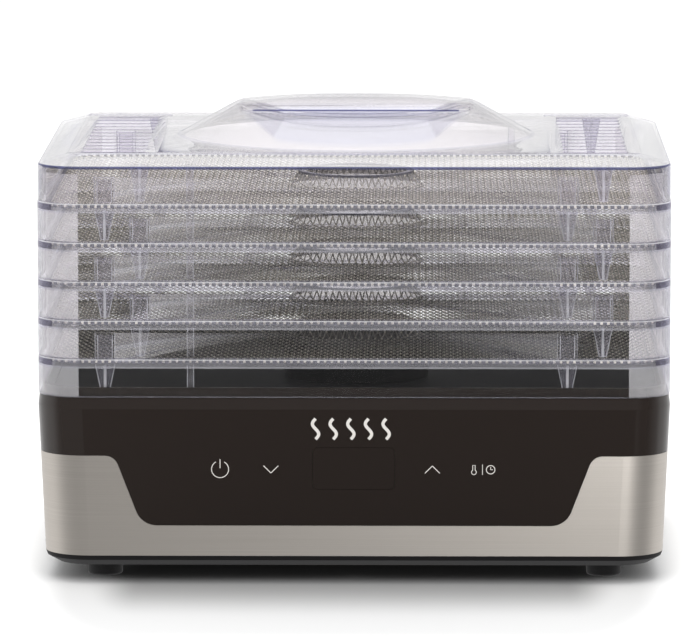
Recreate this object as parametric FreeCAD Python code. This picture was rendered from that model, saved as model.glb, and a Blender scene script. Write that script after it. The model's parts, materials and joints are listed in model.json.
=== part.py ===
import FreeCAD
import Part
import math
import os
from FreeCAD import Vector

# Food dehydrator: a heated fan base, five stacking trays with mesh inserts, and a vented lid.
# Origin: on the table under the middle of the body. +X is to the right of someone who faces the
# control panel, +Y is to the back, +Z is up. Millimetres.

# ---- stack of trays ----
stack_w = 342.0          # outside width of a tray
stack_d = 262.0          # outside depth of a tray
stack_corner_r = 23.0    # outside corner radius of a tray, seen from above
tray_count = 5
nested_pitch = 21.0      # rise from one tray to the next when nested low
raised_pitch = 34.0      # rise when a tray is turned round and stands on its pegs
flange_t = 4.4           # thick band at the level of the tray floor
skirt_wall = 2.0
skirt_gap = 0.9          # side clearance between a skirt and the collar that it slides over
collar_wall = 1.8        # upright wall inside the skirt of the tray above
collar_top_gap = 1.0     # from a collar's top to the flange above it
seat_gap = 0.2           # between a skirt's foot and the face that it rests on
floor_t = 2.0            # ribs and ledge that carry the mesh insert
ledge_w = 6.0            # ledge round the inside of the collar
edge_break = 0.6         # small rounding on the flange's outer edges

# ---- tray hub, ribs, pegs and posts ----
hub_foot_r = 38.0
hub_mouth_r = 30.0
hub_h = 9.0
hub_wall = 1.6
rib_w = 2.2
rib_ring_r = 62.0
rib_count = 8
peg_far_in = 37.0        # from a tray's left side to its left pegs
peg_near_in = 56.0       # from its right side to its right pegs, so a turned tray's pegs miss the posts
peg_root_w = 11.0
peg_tip_w = 4.4
peg_rib_t = 1.4
peg_depth = 5.0
peg_float = 0.8          # from a nested peg's tip to the tray floor level below
post_w = 11.0
post_depth = 6.0
post_wall = 1.3
stay_in = 83.0           # from a tray's side to the slim stay that hangs from its rim
stay_w = 4.0
stay_t = 1.6

# ---- mesh insert ----
mesh_t = 1.0
mesh_gap = 0.5

# ---- lid ----
lid_inset = 0.5          # the lid's sides stand in from the trays' by this much
lid_gap = 0.6            # side clearance between the lid's skirt and the top tray's collar
lid_headroom = 4.4       # from the top tray's collar up to the lid's shoulder edge
bevel_w = 17.0
bevel_h = 5.0
dome_foot_r = 98.0
dome_top_r = 63.5
dome_h = 18.0            # height of the cone under the crown
crown_h = 4.0
grip_half_w = 18.0       # half of the grip bar's width, front to back
grip_edge_drop = 7.3     # from the grip's top to its straight edges
scoop_floor_half = 42.0
scoop_mouth_half = 63.0
scoop_depth = 13.5       # from the grip's top to the finger scoop's floor at the bar
scoop_fall = 3.5         # how much the floor falls towards the scoop's lip
scoop_corner_r = 10.0
vent_count = 12
vent_pitch = 17.0
vent_slot_w = 6.0
vent_slot_l = 35.0
vent_side_in = 23.0      # from a tray's side to the slots' outer ends
vent_border = 7.0
vent_panel_sink = 0.6

# ---- base ----
base_proud = 0.5         # the base's shoulder stands out from the trays' sides by this much
base_corner_r = 25.0
base_lean = 4.0          # each side leans in by this much from shoulder to foot
shoulder_z = 102.0
shoulder_bevel_h = 6.0
shoulder_bevel_w = 1.0
rim_h = 5.4              # black rim that the lowest skirt slides over
rim_wall = 1.8
housing_wall = 2.5
pan_z = 9.4              # underside of the pan, which is the height of the feet
pan_edge_h = 6.0
pan_edge_in = 7.0
pan_floor_t = 2.5
pan_lip_h = 9.0
pan_lip_t = 1.8
fit_gap = 0.3            # between parts of the base that are assembled
seam_gap = 0.15          # hairline seams that show on the outside
steel_t = 0.8
steel_top_z = 70.5
apron_bottom_z = 32.2
apron_top_in = 42.5      # from the base's side to the dip's upper corner
apron_bottom_in = 57.0   # from the base's side to the dip's lower corner
apron_top_r = 7.5
apron_bottom_r = 12.0
window_w = 44.5
window_h = 23.0
window_z = 63.7
window_r = 3.0
window_t = 2.0
deck_z = 96.5            # top of the deck plate
deck_t = 3.0
deck_sink = 1.6          # depth of the deck's screw recesses
shelf_w = 28.0           # shelf inside the rim that carries the deck
shelf_t = 2.5
outlet_r = 40.0
outlet_h = 15.5
outlet_wall = 2.0
foot_r = 9.5
foot_side_in = 35.5      # from the base's side to a foot's middle
foot_front_in = 39.5     # from the base's front or back to a foot's middle
foot_stem_r = 4.0
screw_r = 1.6
screw_head_r = 3.2
screw_head_h = 2.0
pan_sink = 3.0           # depth of the pan's screw recesses
screw_boss_r = 4.2

# ---- fan, motor and heater ----
fan_r = 54.0
fan_hub_r = 17.0
fan_z = 60.0
fan_h = 15.0
fan_hub_wall = 2.5
blade_count = 9
blade_t = 1.4
blade_pitch_deg = 35.0
shroud_gap = 2.5
shroud_wall = 2.0
motor_r = 27.0
motor_z = 24.0
motor_h = 30.0
motor_can_t = 1.0
bracket_t = 1.5
shaft_r = 3.0
shaft_gap = 0.05
bush_r = 6.0
bush_h = 5.0
rotor_r = 14.0
air_gap = 0.6
heater_r = 46.0
heater_z = 80.0
heater_h = 9.0
coil_r = 2.2
coil_rings = (14.0, 22.0, 30.0, 38.0)
intake_pitch = 9.0
intake_slot_w = 4.0

# ---- electronics ----
board_t = 1.6
control_board_w = 190.0
control_board_h = 34.0
display_t = 6.0
board_setback = 13.5     # from the front wall's inside, at its foot, to the control board
board_rail_w = 6.0
board_rail_d = 3.0
header_w = 15.0
header_d = 5.0
header_h = 5.0
ribbon_w = 12.0
ribbon_t = 0.8
touch_xs = (-73.0, -45.4, 41.6, 69.0)
touch_pad_r = 5.0
touch_wire = 1.2
power_board_w = 62.0
power_board_d = 92.0
power_board_in = 34.5    # from the base's left side to the power board's edge
power_board_z = 22.0
gland_side_in = 76.5     # from the base's right side to the mains lead's gland
gland_z = 34.0
gland_r = 5.0
lead_r = 1.2
lead_bend_r = 5.0
heater_lead_y = -8.0
motor_lead_y = 4.0

# ---- values that follow from the ones above ----
base_w = stack_w + 2 * base_proud
base_d = stack_d + 2 * base_proud
peg_far_x = stack_w / 2 - peg_far_in
peg_near_x = stack_w / 2 - peg_near_in
stay_x = stack_w / 2 - stay_in
vent_outer_x = stack_w / 2 - vent_side_in
vent_inner_x = vent_outer_x - vent_slot_l
apron_top_half = base_w / 2 - apron_top_in
apron_bottom_half = base_w / 2 - apron_bottom_in
foot_x = base_w / 2 - foot_side_in
foot_y = base_d / 2 - foot_front_in
power_board_x = -base_w / 2 + power_board_in + power_board_w / 2
gland_x = base_w / 2 - gland_side_in
collar_in = skirt_wall + skirt_gap
collar_h = nested_pitch - flange_t - collar_top_gap
peg_len = nested_pitch - flange_t - peg_float
post_h = raised_pitch - flange_t - peg_len - seat_gap
lid_wall = collar_in - lid_inset - lid_gap
peg_y = stack_d / 2 - collar_in - collar_wall - post_depth / 2
rim_top_z = shoulder_z + rim_h
top_tray_z = shoulder_z + tray_count * nested_pitch
lid_edge_z = top_tray_z + collar_h + lid_headroom
lid_flat_z = lid_edge_z + bevel_h
crown_z = lid_flat_z + dome_h + crown_h
housing_foot_z = pan_z + pan_edge_h
inner_in = steel_t + seam_gap + housing_wall
deck_under_z = deck_z - deck_t
pan_floor_z = pan_z + pan_floor_t
shroud_r = fan_r + shroud_gap
PARTS = "parts"


# ---------------------------------------------------------------- small helpers
def rounded_rect(width, depth, radius, z):
    """Closed wire of a rounded rectangle round the origin at height z."""
    x, y = width / 2, depth / 2
    corners = [Vector(-x, -y, z), Vector(x, -y, z), Vector(x, y, z), Vector(-x, y, z)]
    return rounded_polygon(corners, [radius] * 4)


def rounded_polygon(corners, radii):
    """Closed wire through the corners, each rounded by its radius; 0 keeps it sharp."""
    starts, arcs, ends = [], [], []
    for i, corner in enumerate(corners):
        back = (corners[i - 1] - corner).normalize()
        on = (corners[(i + 1) % len(corners)] - corner).normalize()
        radius = radii[i]
        if radius <= 0:
            starts.append(corner)
            ends.append(corner)
            arcs.append(None)
            continue
        half = back.getAngle(on) / 2
        run = radius / math.tan(half)
        start, end = corner + back * run, corner + on * run
        middle = corner + (back + on).normalize() * (radius / math.sin(half) - radius)
        starts.append(start)
        ends.append(end)
        arcs.append(Part.Arc(start, middle, end).toShape())
    edges = []
    for i, arc in enumerate(arcs):
        if arc:
            edges.append(arc)
        following = starts[(i + 1) % len(corners)]
        if (following - ends[i]).Length > 1e-6:
            edges.append(Part.makeLine(ends[i], following))
    return Part.Wire(edges)


def prism(wire, height):
    return Part.Face(wire).extrude(Vector(0, 0, height))


def slab(width, depth, radius, z0, z1):
    """Upright rounded block from z0 to z1."""
    return prism(rounded_rect(width, depth, radius, z0), z1 - z0)


def block(width, depth, height, x=0.0, y=0.0, z=0.0):
    """Box centred on x and y that stands on z."""
    return Part.makeBox(width, depth, height, Vector(x - width / 2, y - depth / 2, z))


def rod(radius, height, x=0.0, y=0.0, z=0.0, axis=None):
    return Part.makeCylinder(radius, height, Vector(x, y, z), axis or Vector(0, 0, 1))


def tube(outer_r, inner_r, height, x=0.0, y=0.0, z=0.0, axis=None):
    hollow = rod(inner_r, height, x, y, z, axis)
    return rod(outer_r, height, x, y, z, axis).cut(hollow)


def joined(first, *others):
    return first.fuse(list(others)).removeSplitter() if others else first


def without(shape, *cutters):
    return shape.cut(list(cutters))


def turned(shape, degrees):
    """A copy turned about the upright axis through the origin."""
    copy = shape.copy()
    copy.rotate(Vector(0, 0, 0), Vector(0, 0, 1), degrees)
    return copy


def lifted(shape, z):
    copy = shape.copy()
    copy.translate(Vector(0, 0, z))
    return copy


def save(name, *solids):
    """Writes one node. Its solids stay separate, so a node may hold a group of like pieces."""
    found = [solid for shape in solids for solid in shape.Solids]
    whole = found[0] if len(found) == 1 else Part.makeCompound(found)
    bad = [s for s in found if not s.isValid() or s.Volume <= 0]
    print(f"{name}: {len(found)} solid(s), {sum(s.Volume for s in found) / 1000:.1f} cm3",
          "INVALID" if bad else "")
    whole.exportStep(os.path.join(PARTS, name + ".step"))


# ---------------------------------------------------------------- trays
def stack_slab(inset, z0, z1):
    """Upright block with the tray's outline moved in by inset."""
    radius = max(stack_corner_r - inset, 1.0)
    return slab(stack_w - 2 * inset, stack_d - 2 * inset, radius, z0, z1)


def peg(x, y, root_z, tip_z):
    """Hanging peg: two crossed ribs, the wide one tapered to a blunt tip."""
    def at(half_w, z):
        return Vector(x + half_w, y - peg_rib_t / 2, z)

    outline = [at(-peg_root_w / 2, root_z), at(peg_root_w / 2, root_z),
               at(peg_tip_w / 2, tip_z), at(-peg_tip_w / 2, tip_z)]
    wide = Part.Face(rounded_polygon(outline, [0] * 4)).extrude(Vector(0, peg_rib_t, 0))
    deep = block(peg_rib_t, peg_depth, root_z - tip_z, x, y, tip_z)
    return joined(wide, deep)


def hanging_parts(root_z, floor_z):
    """The four pegs and two stays that hang from a rim at root_z over a floor at floor_z."""
    tip_z = floor_z + peg_float
    pegs = [peg(x, y, root_z, tip_z) for x in (-peg_far_x, peg_near_x) for y in (-peg_y, peg_y)]
    stays = [block(stay_w, stay_t, root_z - tip_z, s * stay_x, s * peg_y, tip_z) for s in (-1, 1)]
    return pegs + stays


def tray_posts():
    """Hollow posts inside the collar, which carry a turned tray's pegs."""
    posts, hollows = [], []
    for x in (-peg_far_x, peg_near_x):
        for side in (-1, 1):
            y = side * peg_y
            posts.append(block(post_w, post_depth, flange_t + post_h, x, y, -flange_t))
            inner_d = post_depth - 2 * post_wall
            hollows.append(block(post_w - 2 * post_wall, inner_d, post_h - post_wall, x, y, 0))
    return posts, hollows


def hub_and_ribs():
    """Central air duct with its cone, a ring rib, and spokes out to the ledge."""
    foot_z = -flange_t
    cone = Part.makeCone(hub_foot_r, hub_mouth_r, hub_h, Vector(0, 0, foot_z))
    bore_foot, bore_mouth = hub_foot_r - hub_wall, hub_mouth_r - hub_wall
    bore = Part.makeCone(bore_foot, bore_mouth, hub_h, Vector(0, 0, foot_z))
    ring = tube(rib_ring_r + rib_w / 2, rib_ring_r - rib_w / 2, floor_t, z=foot_z)
    reach = stack_w / 2 + stack_d / 2
    spokes = [turned(block(reach, rib_w, floor_t, reach / 2, 0, foot_z), i * 360 / rib_count)
              for i in range(rib_count)]
    inside = stack_slab(collar_in + collar_wall / 2, foot_z, foot_z + floor_t)
    ribs = joined(ring, *spokes).common(inside)
    return joined(without(ribs, rod(hub_foot_r - hub_wall / 2, floor_t, z=foot_z)),
                  without(cone, bore))


def tray():
    """One tray with its flange's top at z = 0."""
    foot_z = -nested_pitch + seat_gap
    band = stack_slab(0, -flange_t, 0)
    edges = [e for e in band.Edges if abs(e.BoundBox.ZLength) < 1e-6]
    band = band.makeFillet(edge_break, edges)
    skirt = without(stack_slab(0, foot_z, -flange_t / 2),
                    stack_slab(skirt_wall, foot_z, -flange_t))
    collar = stack_slab(collar_in, -flange_t, collar_h)
    inner = collar_in + collar_wall
    well = stack_slab(inner, -flange_t + floor_t, collar_h)
    mouth = stack_slab(inner + ledge_w, -flange_t, 0)
    shell = without(joined(band, skirt, collar), well, mouth)
    posts, hollows = tray_posts()
    whole = joined(shell, hub_and_ribs(), *posts, *hanging_parts(-flange_t, -nested_pitch))
    return without(whole, *hollows)


def mesh_insert():
    """Plain sheet that stands for the woven mesh: its outline, its hub hole and its post notches."""
    inset = collar_in + collar_wall + mesh_gap
    z = -flange_t + floor_t + seat_gap / 2
    sheet = stack_slab(inset, z, z + mesh_t)
    hole = rod(hub_foot_r + mesh_gap, mesh_t, z=z)
    notch_w, notch_d = post_w + 2 * mesh_gap, post_depth + 2 * mesh_gap
    notches = [block(notch_w, notch_d, mesh_t, x, side * peg_y, z)
               for x in (-peg_far_x, peg_near_x) for side in (-1, 1)]
    return without(sheet, hole, *notches)


def make_trays():
    """Tray 1 is the top one. Every other tray is turned round, as they nest."""
    plain_tray, plain_mesh = tray(), mesh_insert()
    for number in range(1, tray_count + 1):
        z = shoulder_z + (tray_count + 1 - number) * nested_pitch
        angle = 0 if number % 2 else 180
        save(f"tray_{number}", lifted(turned(plain_tray, angle), z))
        save(f"mesh_insert_{number}", lifted(turned(plain_mesh, angle), z))


# ---------------------------------------------------------------- lid
def lid_wire(inset, z):
    """The lid's outline moved in by inset."""
    radius = max(stack_corner_r - lid_inset - inset, 3.0)
    around = 2 * (lid_inset + inset)
    return rounded_rect(stack_w - around, stack_d - around, radius, z)


def dome(skin):
    """Cone with a crowned top, its surface moved in by skin."""
    foot_z = lid_flat_z - skin
    top_z = foot_z + dome_h
    crown_r = (dome_top_r ** 2 + crown_h ** 2) / (2 * crown_h)
    foot_r, top_r = dome_foot_r - skin / 2, dome_top_r - skin / 2
    sink = bevel_h
    cone = Part.makeCone(foot_r, top_r, dome_h, Vector(0, 0, foot_z))
    plug = rod(foot_r, sink, z=foot_z - sink)
    ball = Part.makeSphere(crown_r, Vector(0, 0, top_z + crown_h - crown_r))
    cap = ball.common(rod(top_r, crown_h + 1, z=top_z - 0.5))
    return joined(cone, plug, cap)


def scoop(side, skin):
    """Finger scoop in front of (side -1) or behind (side 1) the grip bar."""
    floor_z = crown_z - scoop_depth - skin
    floor_half, mouth_half = scoop_floor_half + skin / 2, scoop_mouth_half + skin / 2
    rise = lid_flat_z + dome_h - (crown_z - scoop_depth)
    lean = (mouth_half - floor_half) / rise
    above = crown_h + dome_h
    outline = [Vector(-floor_half, 0, floor_z), Vector(floor_half, 0, floor_z),
               Vector(floor_half + lean * above, 0, floor_z + above),
               Vector(-floor_half - lean * above, 0, floor_z + above)]
    start = grip_half_w - skin
    length = dome_foot_r
    wire = rounded_polygon(outline, [scoop_corner_r, scoop_corner_r, 0, 0])
    cut = Part.Face(wire).extrude(Vector(0, length, 0))
    cut.translate(Vector(0, start, 0))
    fall = math.degrees(math.atan(scoop_fall / (dome_foot_r - grip_half_w)))
    cut.rotate(Vector(0, start, floor_z), Vector(1, 0, 0), -fall)
    keep_off = block(4 * dome_foot_r, 2 * start, 4 * above, 0, 0, floor_z - above)
    cut = cut.cut(keep_off)
    return cut if side > 0 else turned(cut, 180)


def grip_shoulders(skin):
    """What is cut away above the grip bar to round it from edge to edge."""
    half_w, top_z = grip_half_w - skin, crown_z - skin
    edge_z = crown_z - grip_edge_drop - skin
    left, right = Vector(0, -half_w, edge_z), Vector(0, half_w, edge_z)
    arc = Part.Arc(left, Vector(0, 0, top_z), right).toShape()
    up = Vector(0, 0, grip_edge_drop + 5)
    sides = [Part.makeLine(right, right + up), Part.makeLine(right + up, left + up),
             Part.makeLine(left + up, left)]
    length = 2 * scoop_mouth_half
    cut = Part.Face(Part.Wire([arc] + sides)).extrude(Vector(length, 0, 0))
    cut.translate(Vector(-length / 2, 0, 0))
    return cut


def lid_form(skin):
    """The lid as a solid lump with every surface moved in by skin."""
    foot_z = top_tray_z + seat_gap
    skirt = prism(lid_wire(skin, foot_z), lid_edge_z - skin / 2 - foot_z)
    low, high = lid_wire(skin, lid_edge_z - skin / 2), lid_wire(bevel_w, lid_flat_z - skin)
    bevel = Part.makeLoft([low, high], True, True)
    lump = joined(skirt, bevel, dome(skin))
    return without(lump, scoop(-1, skin), scoop(1, skin), grip_shoulders(skin))


def vents():
    """Rows of slots at both ends of the lid, and the shallow panels that they lie in."""
    cutters = []
    panel_l = vent_slot_l + 2 * vent_border
    panel_d = (vent_count - 1) * vent_pitch + vent_slot_w + 2 * vent_border
    for side in (-1, 1):
        x = side * (vent_inner_x + vent_outer_x) / 2
        panel = slab(panel_l, panel_d, 3.0, lid_flat_z - vent_panel_sink, lid_flat_z + 1)
        panel.translate(Vector(x, 0, 0))
        cutters.append(panel)
        for i in range(vent_count):
            y = (i - (vent_count - 1) / 2) * vent_pitch
            slot = slab(vent_slot_l, vent_slot_w, vent_slot_w * 0.4, lid_flat_z - 2 * lid_wall, lid_flat_z)
            slot.translate(Vector(x, y, 0))
            cutters.append(slot)
    return cutters


def make_lid():
    outside, inside = lid_form(0), lid_form(lid_wall)
    shell = without(outside, inside)
    root_z = lid_edge_z + bevel_h
    hanging = [turned(p, 180).common(outside) for p in hanging_parts(root_z, top_tray_z)]
    trimmed = [p for p in hanging if p.Volume > 0]
    save("lid", without(joined(shell, *trimmed), *vents()))


# ---------------------------------------------------------------- base housing
def body_wire(z, inset):
    """The base's outline at height z, moved in by inset; its sides lean in towards the foot."""
    lean = base_lean * (shoulder_z - z) / (shoulder_z - pan_z)
    radius = max(base_corner_r - inset, 1.0)
    return rounded_rect(base_w - 2 * (lean + inset), base_d - 2 * (lean + inset), radius, z)


def body_slab(inset, z0, z1, inset_top=None):
    top = inset if inset_top is None else inset_top
    return Part.makeLoft([body_wire(z0, inset), body_wire(z1, top)], True, True)


def front_prism(wire):
    """A wire in the XZ plane, swept through the front wall of the base only."""
    solid = Part.Face(wire).extrude(Vector(0, base_d / 4, 0))
    solid.translate(Vector(0, -base_d / 2 - base_lean, 0))
    return solid


def apron_prism(seam):
    """Where the black front dips into the steel band, with the seam taken off all round."""
    top, bottom = steel_top_z + seam, apron_bottom_z + seam
    wide, high = base_w, steel_top_z + 3 * shoulder_bevel_h
    half_top, half_bottom = apron_top_half - seam, apron_bottom_half - seam
    points = [(-wide, top), (-half_top, top), (-half_bottom, bottom), (half_bottom, bottom),
              (half_top, top), (wide, top), (wide, high), (-wide, high)]
    radii = [0, apron_top_r, apron_bottom_r, apron_bottom_r, apron_top_r, 0, 0, 0]
    return front_prism(rounded_polygon([Vector(x, 0, z) for x, z in points], radii))


def window_prism(clearance):
    x, z0 = window_w / 2 + clearance, window_z - window_h / 2 - clearance
    z1 = window_z + window_h / 2 + clearance
    corners = [Vector(-x, 0, z0), Vector(x, 0, z0), Vector(x, 0, z1), Vector(-x, 0, z1)]
    return front_prism(rounded_polygon(corners, [window_r + clearance] * 4))


def corner_places():
    """The four corner posts: the pan is screwed to their feet and the deck to their heads."""
    x, y = base_w / 2 - base_corner_r, base_d / 2 - base_corner_r
    return [(sx * x, sy * y) for sx in (-1, 1) for sy in (-1, 1)]


def screw_places():
    """Where the pan is screwed to the housing: the corners and the middle of the long sides."""
    y = base_d / 2 - base_corner_r
    return corner_places() + [(0, y), (0, -y)]


def wall_inside_y(z):
    """Distance from the middle to the inside of the front or back wall at height z."""
    return base_d / 2 - base_lean * (shoulder_z - z) / (shoulder_z - pan_z) - inner_in


def gland_bore(radius):
    return rod(radius, base_d / 4, gland_x, base_d / 2 + base_lean, gland_z, Vector(0, -1, 0))


def make_upper_housing():
    bevel_z = shoulder_z - shoulder_bevel_h
    top = body_slab(0, steel_top_z + seam_gap, bevel_z)
    bevel = body_slab(0, bevel_z, shoulder_z, shoulder_bevel_w)
    core = body_slab(steel_t + seam_gap, housing_foot_z + seam_gap, steel_top_z + seam_gap)
    apron = body_slab(0, apron_bottom_z, steel_top_z + seam_gap).common(apron_prism(seam_gap))
    rim = stack_slab(collar_in, bevel_z, rim_top_z)
    lump = joined(top, bevel, core, apron, rim)
    shelf_z = deck_under_z - shelf_t
    hollow = body_slab(inner_in, pan_z, shelf_z)
    throat = stack_slab(collar_in + shelf_w, shelf_z, deck_under_z)
    well = stack_slab(collar_in + rim_wall, deck_under_z, rim_top_z)
    shell = without(lump, hollow, throat, well, window_prism(0), gland_bore(gland_r))
    post_z = pan_floor_z + 2 * screw_boss_r
    posts = [rod(screw_boss_r, deck_under_z - post_z, x, y, post_z) for x, y in screw_places()]
    bores = [rod(screw_r, 4 * screw_boss_r, x, y, post_z) for x, y in screw_places()]
    bores += [rod(screw_r, 3 * screw_boss_r, x, y, deck_under_z - 3 * screw_boss_r)
              for x, y in corner_places()]
    save("upper_housing", without(joined(shell, *posts, *board_rails()), *bores, *board_grooves()))


def board_y():
    """Middle of the control board, front to back."""
    return -(wall_inside_y(housing_foot_z) - board_setback)


def board_rails():
    """Rails behind the front wall that the control board slides down into."""
    front = -wall_inside_y(shoulder_z) - housing_wall / 2
    back = board_y() + board_rail_d
    z = window_z - control_board_h / 2 - board_rail_d
    rails = [block(board_rail_w, back - front, control_board_h + 2 * board_rail_d,
                   side * control_board_w / 2, (front + back) / 2, z) for side in (-1, 1)]
    inside = body_slab(inner_in - housing_wall / 2, pan_z, shoulder_z)
    return [rail.common(inside) for rail in rails]


def board_grooves():
    width = control_board_w + 2 * fit_gap
    z = window_z - control_board_h / 2
    return [block(width, board_t + fit_gap, control_board_h + 2 * board_rail_d, 0, board_y(), z)]


def make_steel_wrap():
    z0, z1 = housing_foot_z + seam_gap, steel_top_z
    sheet = without(body_slab(0, z0, z1), body_slab(steel_t, z0 - 1, z1 + 1))
    front_window = apron_prism(0)
    save("steel_wrap", without(sheet, front_window, gland_bore(gland_r + 2 * fit_gap)))


def make_display_window():
    skin = without(body_slab(0, apron_bottom_z, shoulder_z - shoulder_bevel_h),
                   body_slab(window_t, apron_bottom_z, shoulder_z - shoulder_bevel_h))
    save("display_window", skin.common(window_prism(-seam_gap)))


def make_lower_pan():
    edge_z = pan_z + pan_edge_h
    turn_z = pan_z + 0.6 * pan_edge_h
    side = body_slab(0.8, turn_z, edge_z, 0)
    keel = body_slab(pan_edge_in, pan_z, turn_z, 0.8)
    lip_in = inner_in + fit_gap
    lip = body_slab(lip_in, turn_z, edge_z + pan_lip_h)
    hollow = body_slab(lip_in + pan_lip_t, turn_z, edge_z + pan_lip_h)
    floor_hollow = body_slab(pan_edge_in + pan_floor_t, pan_floor_z, turn_z)
    pan = without(joined(side, keel, lip), hollow, floor_hollow)
    slots = []
    slot_count = int(fan_r / intake_pitch)
    keep = [rod(2 * screw_boss_r, pan_floor_t, x, y, pan_z) for x, y in leg_places()]
    for i in range(-slot_count + 1, slot_count):
        x = i * intake_pitch
        slot = block(intake_slot_w, 2 * math.sqrt(fan_r ** 2 - x ** 2), pan_floor_t, x, 0, pan_z)
        slots.append(without(slot, *keep))
    legs = [rod(screw_boss_r, motor_z - pan_floor_z, x, y, pan_floor_z) for x, y in leg_places()]
    posts = [rod(screw_boss_r, 2 * screw_boss_r - fit_gap, x, y, pan_floor_z)
             for x, y in screw_places()]
    stands = [rod(3.0, power_board_z - pan_floor_z, x, y, pan_floor_z) for x, y in stand_places()]
    pan = joined(without(pan, *slots), *legs, *posts, *stands)
    bores = [rod(screw_r + 0.2, 4 * screw_boss_r, x, y, pan_z) for x, y in screw_places()]
    sinks = [rod(screw_head_r + fit_gap, pan_sink, x, y, pan_z) for x, y in screw_places()]
    stems = [rod(foot_stem_r + 0.1, pan_floor_t, x, y, pan_z) for x, y in foot_places()]
    leg_bores = [rod(screw_r, 8.0, x, y, motor_z - 8.0) for x, y in leg_places()]
    save("lower_pan", without(pan, *bores, *sinks, *stems, *leg_bores))


def leg_places():
    """Motor legs, clear of the intake's middle."""
    r = motor_r + 2 * screw_boss_r
    return [(r * math.cos(math.radians(a)), r * math.sin(math.radians(a))) for a in (45, 135, 225, 315)]


def stand_places():
    dx, dy = power_board_w / 2 - 6, power_board_d / 2 - 6
    return [(power_board_x + sx * dx, sy * dy) for sx in (-1, 1) for sy in (-1, 1)]


def foot_places():
    return [(sx * foot_x, sy * foot_y) for sx in (-1, 1) for sy in (-1, 1)]


def make_feet():
    """Rubber feet, each pushed into the pan by a stem with a swollen head."""
    names = ["foot_left_front", "foot_left_back", "foot_right_front", "foot_right_back"]
    for name, (x, y) in zip(names, foot_places()):
        pad = rod(foot_r, pan_z - seam_gap, x, y)
        pad = pad.makeFillet(1.2, [e for e in pad.Edges if e.BoundBox.ZMax < 1e-6])
        stem = rod(foot_stem_r, pan_floor_t + 1, x, y, pan_z - seam_gap)
        head = Part.makeCone(foot_stem_r + 1, foot_stem_r - 1, 3, Vector(x, y, pan_floor_z + seam_gap))
        save(name, joined(pad, stem, head))


def screws(places, seat_z, shank_len, way):
    """Slotted screws whose heads bear on seat_z; way is +1 when they are driven upwards."""
    made = []
    for x, y in places:
        axis = Vector(0, 0, way)
        head = rod(screw_head_r, screw_head_h, x, y, seat_z, axis * -1)
        shank = rod(screw_r - 0.05, shank_len, x, y, seat_z, axis)
        face_z = seat_z - way * screw_head_h
        slot = block(0.8, 2 * screw_head_r, 1.6, x, y, face_z - 0.8)
        made.append(without(joined(head, shank), slot))
    return made


def make_fasteners():
    save("housing_screws", *screws(screw_places(), pan_z + pan_sink, 14.0, 1))
    save("motor_screws", *screws(leg_places(), motor_z + bracket_t, 7.0, -1))
    save("deck_screws", *screws(corner_places(), deck_z - deck_sink, 9.0, -1))


# ---------------------------------------------------------------- air deck and heater
def make_air_deck():
    inset = collar_in + rim_wall + fit_gap
    plate = stack_slab(inset, deck_under_z + fit_gap / 2, deck_z)
    collar = rod(outlet_r, outlet_h + deck_t / 2, z=deck_z - deck_t / 2)
    bore = rod(outlet_r - outlet_wall, outlet_h + 2 * deck_t, z=deck_under_z)
    sinks = [rod(screw_head_r + fit_gap, deck_sink, x, y, deck_z - deck_sink)
             for x, y in corner_places()]
    bores = [rod(screw_r + 0.2, deck_t, x, y, deck_under_z) for x, y in corner_places()]
    save("air_deck", without(joined(plate, collar), bore, *sinks, *bores))


def make_outlet_grille():
    """Finger guard in the outlet's mouth: rings on radial bars, round a solid middle."""
    z = deck_z + outlet_h - 3.0
    outer = outlet_r - outlet_wall - fit_gap / 2
    rings = [tube(r, r - 1.8, 2.5, z=z) for r in (outer, 0.76 * outer, 0.52 * outer)]
    hub = rod(0.28 * outer, 2.5, z=z)
    bars = [turned(block(outer - 1, 1.8, 2.5, outer / 2 - 0.5, 0, z), i * 30) for i in range(12)]
    save("outlet_grille", joined(rings[0], *rings[1:], hub, *bars))


def make_heater():
    """Mica cross in a steel ring, wound with a resistance coil."""
    ring = tube(heater_r, heater_r - 1.0, heater_h, z=heater_z)
    start, end = heater_r - 0.5, shroud_r - seam_gap
    tabs = [turned(block(end - start, 6, 1.0, (start + end) / 2, 0, heater_z + heater_h / 2),
                   45 + i * 90) for i in range(4)]
    save("heater_ring", joined(ring, *tabs))
    cross = [turned(block(2 * heater_r - 2.4, 0.8, heater_h - 1, 0, 0, heater_z + 0.5), a)
             for a in (0, 90)]
    channels = []
    middle = Vector(0, 0, heater_z + heater_h / 2)
    for r in coil_rings:
        channels.append(Part.makeTorus(r, coil_r + fit_gap, middle))
    save("mica_cross", without(joined(cross[0], cross[1]), *channels))
    save("heating_coil", *[Part.makeTorus(r, coil_r, middle) for r in coil_rings])


def make_thermal_fuse():
    """Thermal cut-out: a small can on a strap that stands on the heater's ring."""
    inner, z = heater_r - 1.0, heater_z + heater_h + 3.0
    strap = block(11.0, 4, 0.8, inner - 5.6, 0, z - 0.4)
    arm = block(0.8, 4, z + 0.4 - heater_z - 2, inner - 0.5, 0, heater_z + 2)
    can = rod(2.2, 12, inner - 9.0, -6, z, Vector(0, 1, 0))
    save("thermal_fuse", turned(joined(strap, arm, can), 22.5))


def make_fan_shroud():
    """Duct ring round the fan that hangs from the deck and necks in to the outlet."""
    top_z = deck_under_z
    wall = tube(shroud_r + shroud_wall, shroud_r, top_z - fan_z + 4, z=fan_z - 4)
    flange = tube(shroud_r + 10, shroud_r, shroud_wall, z=top_z - shroud_wall)
    hole = rod(lead_r + fit_gap, shroud_r, -shroud_r - 10, heater_lead_y, heater_z + heater_h / 2,
               Vector(1, 0, 0))
    save("fan_shroud", without(joined(wall, flange), hole))


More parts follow.
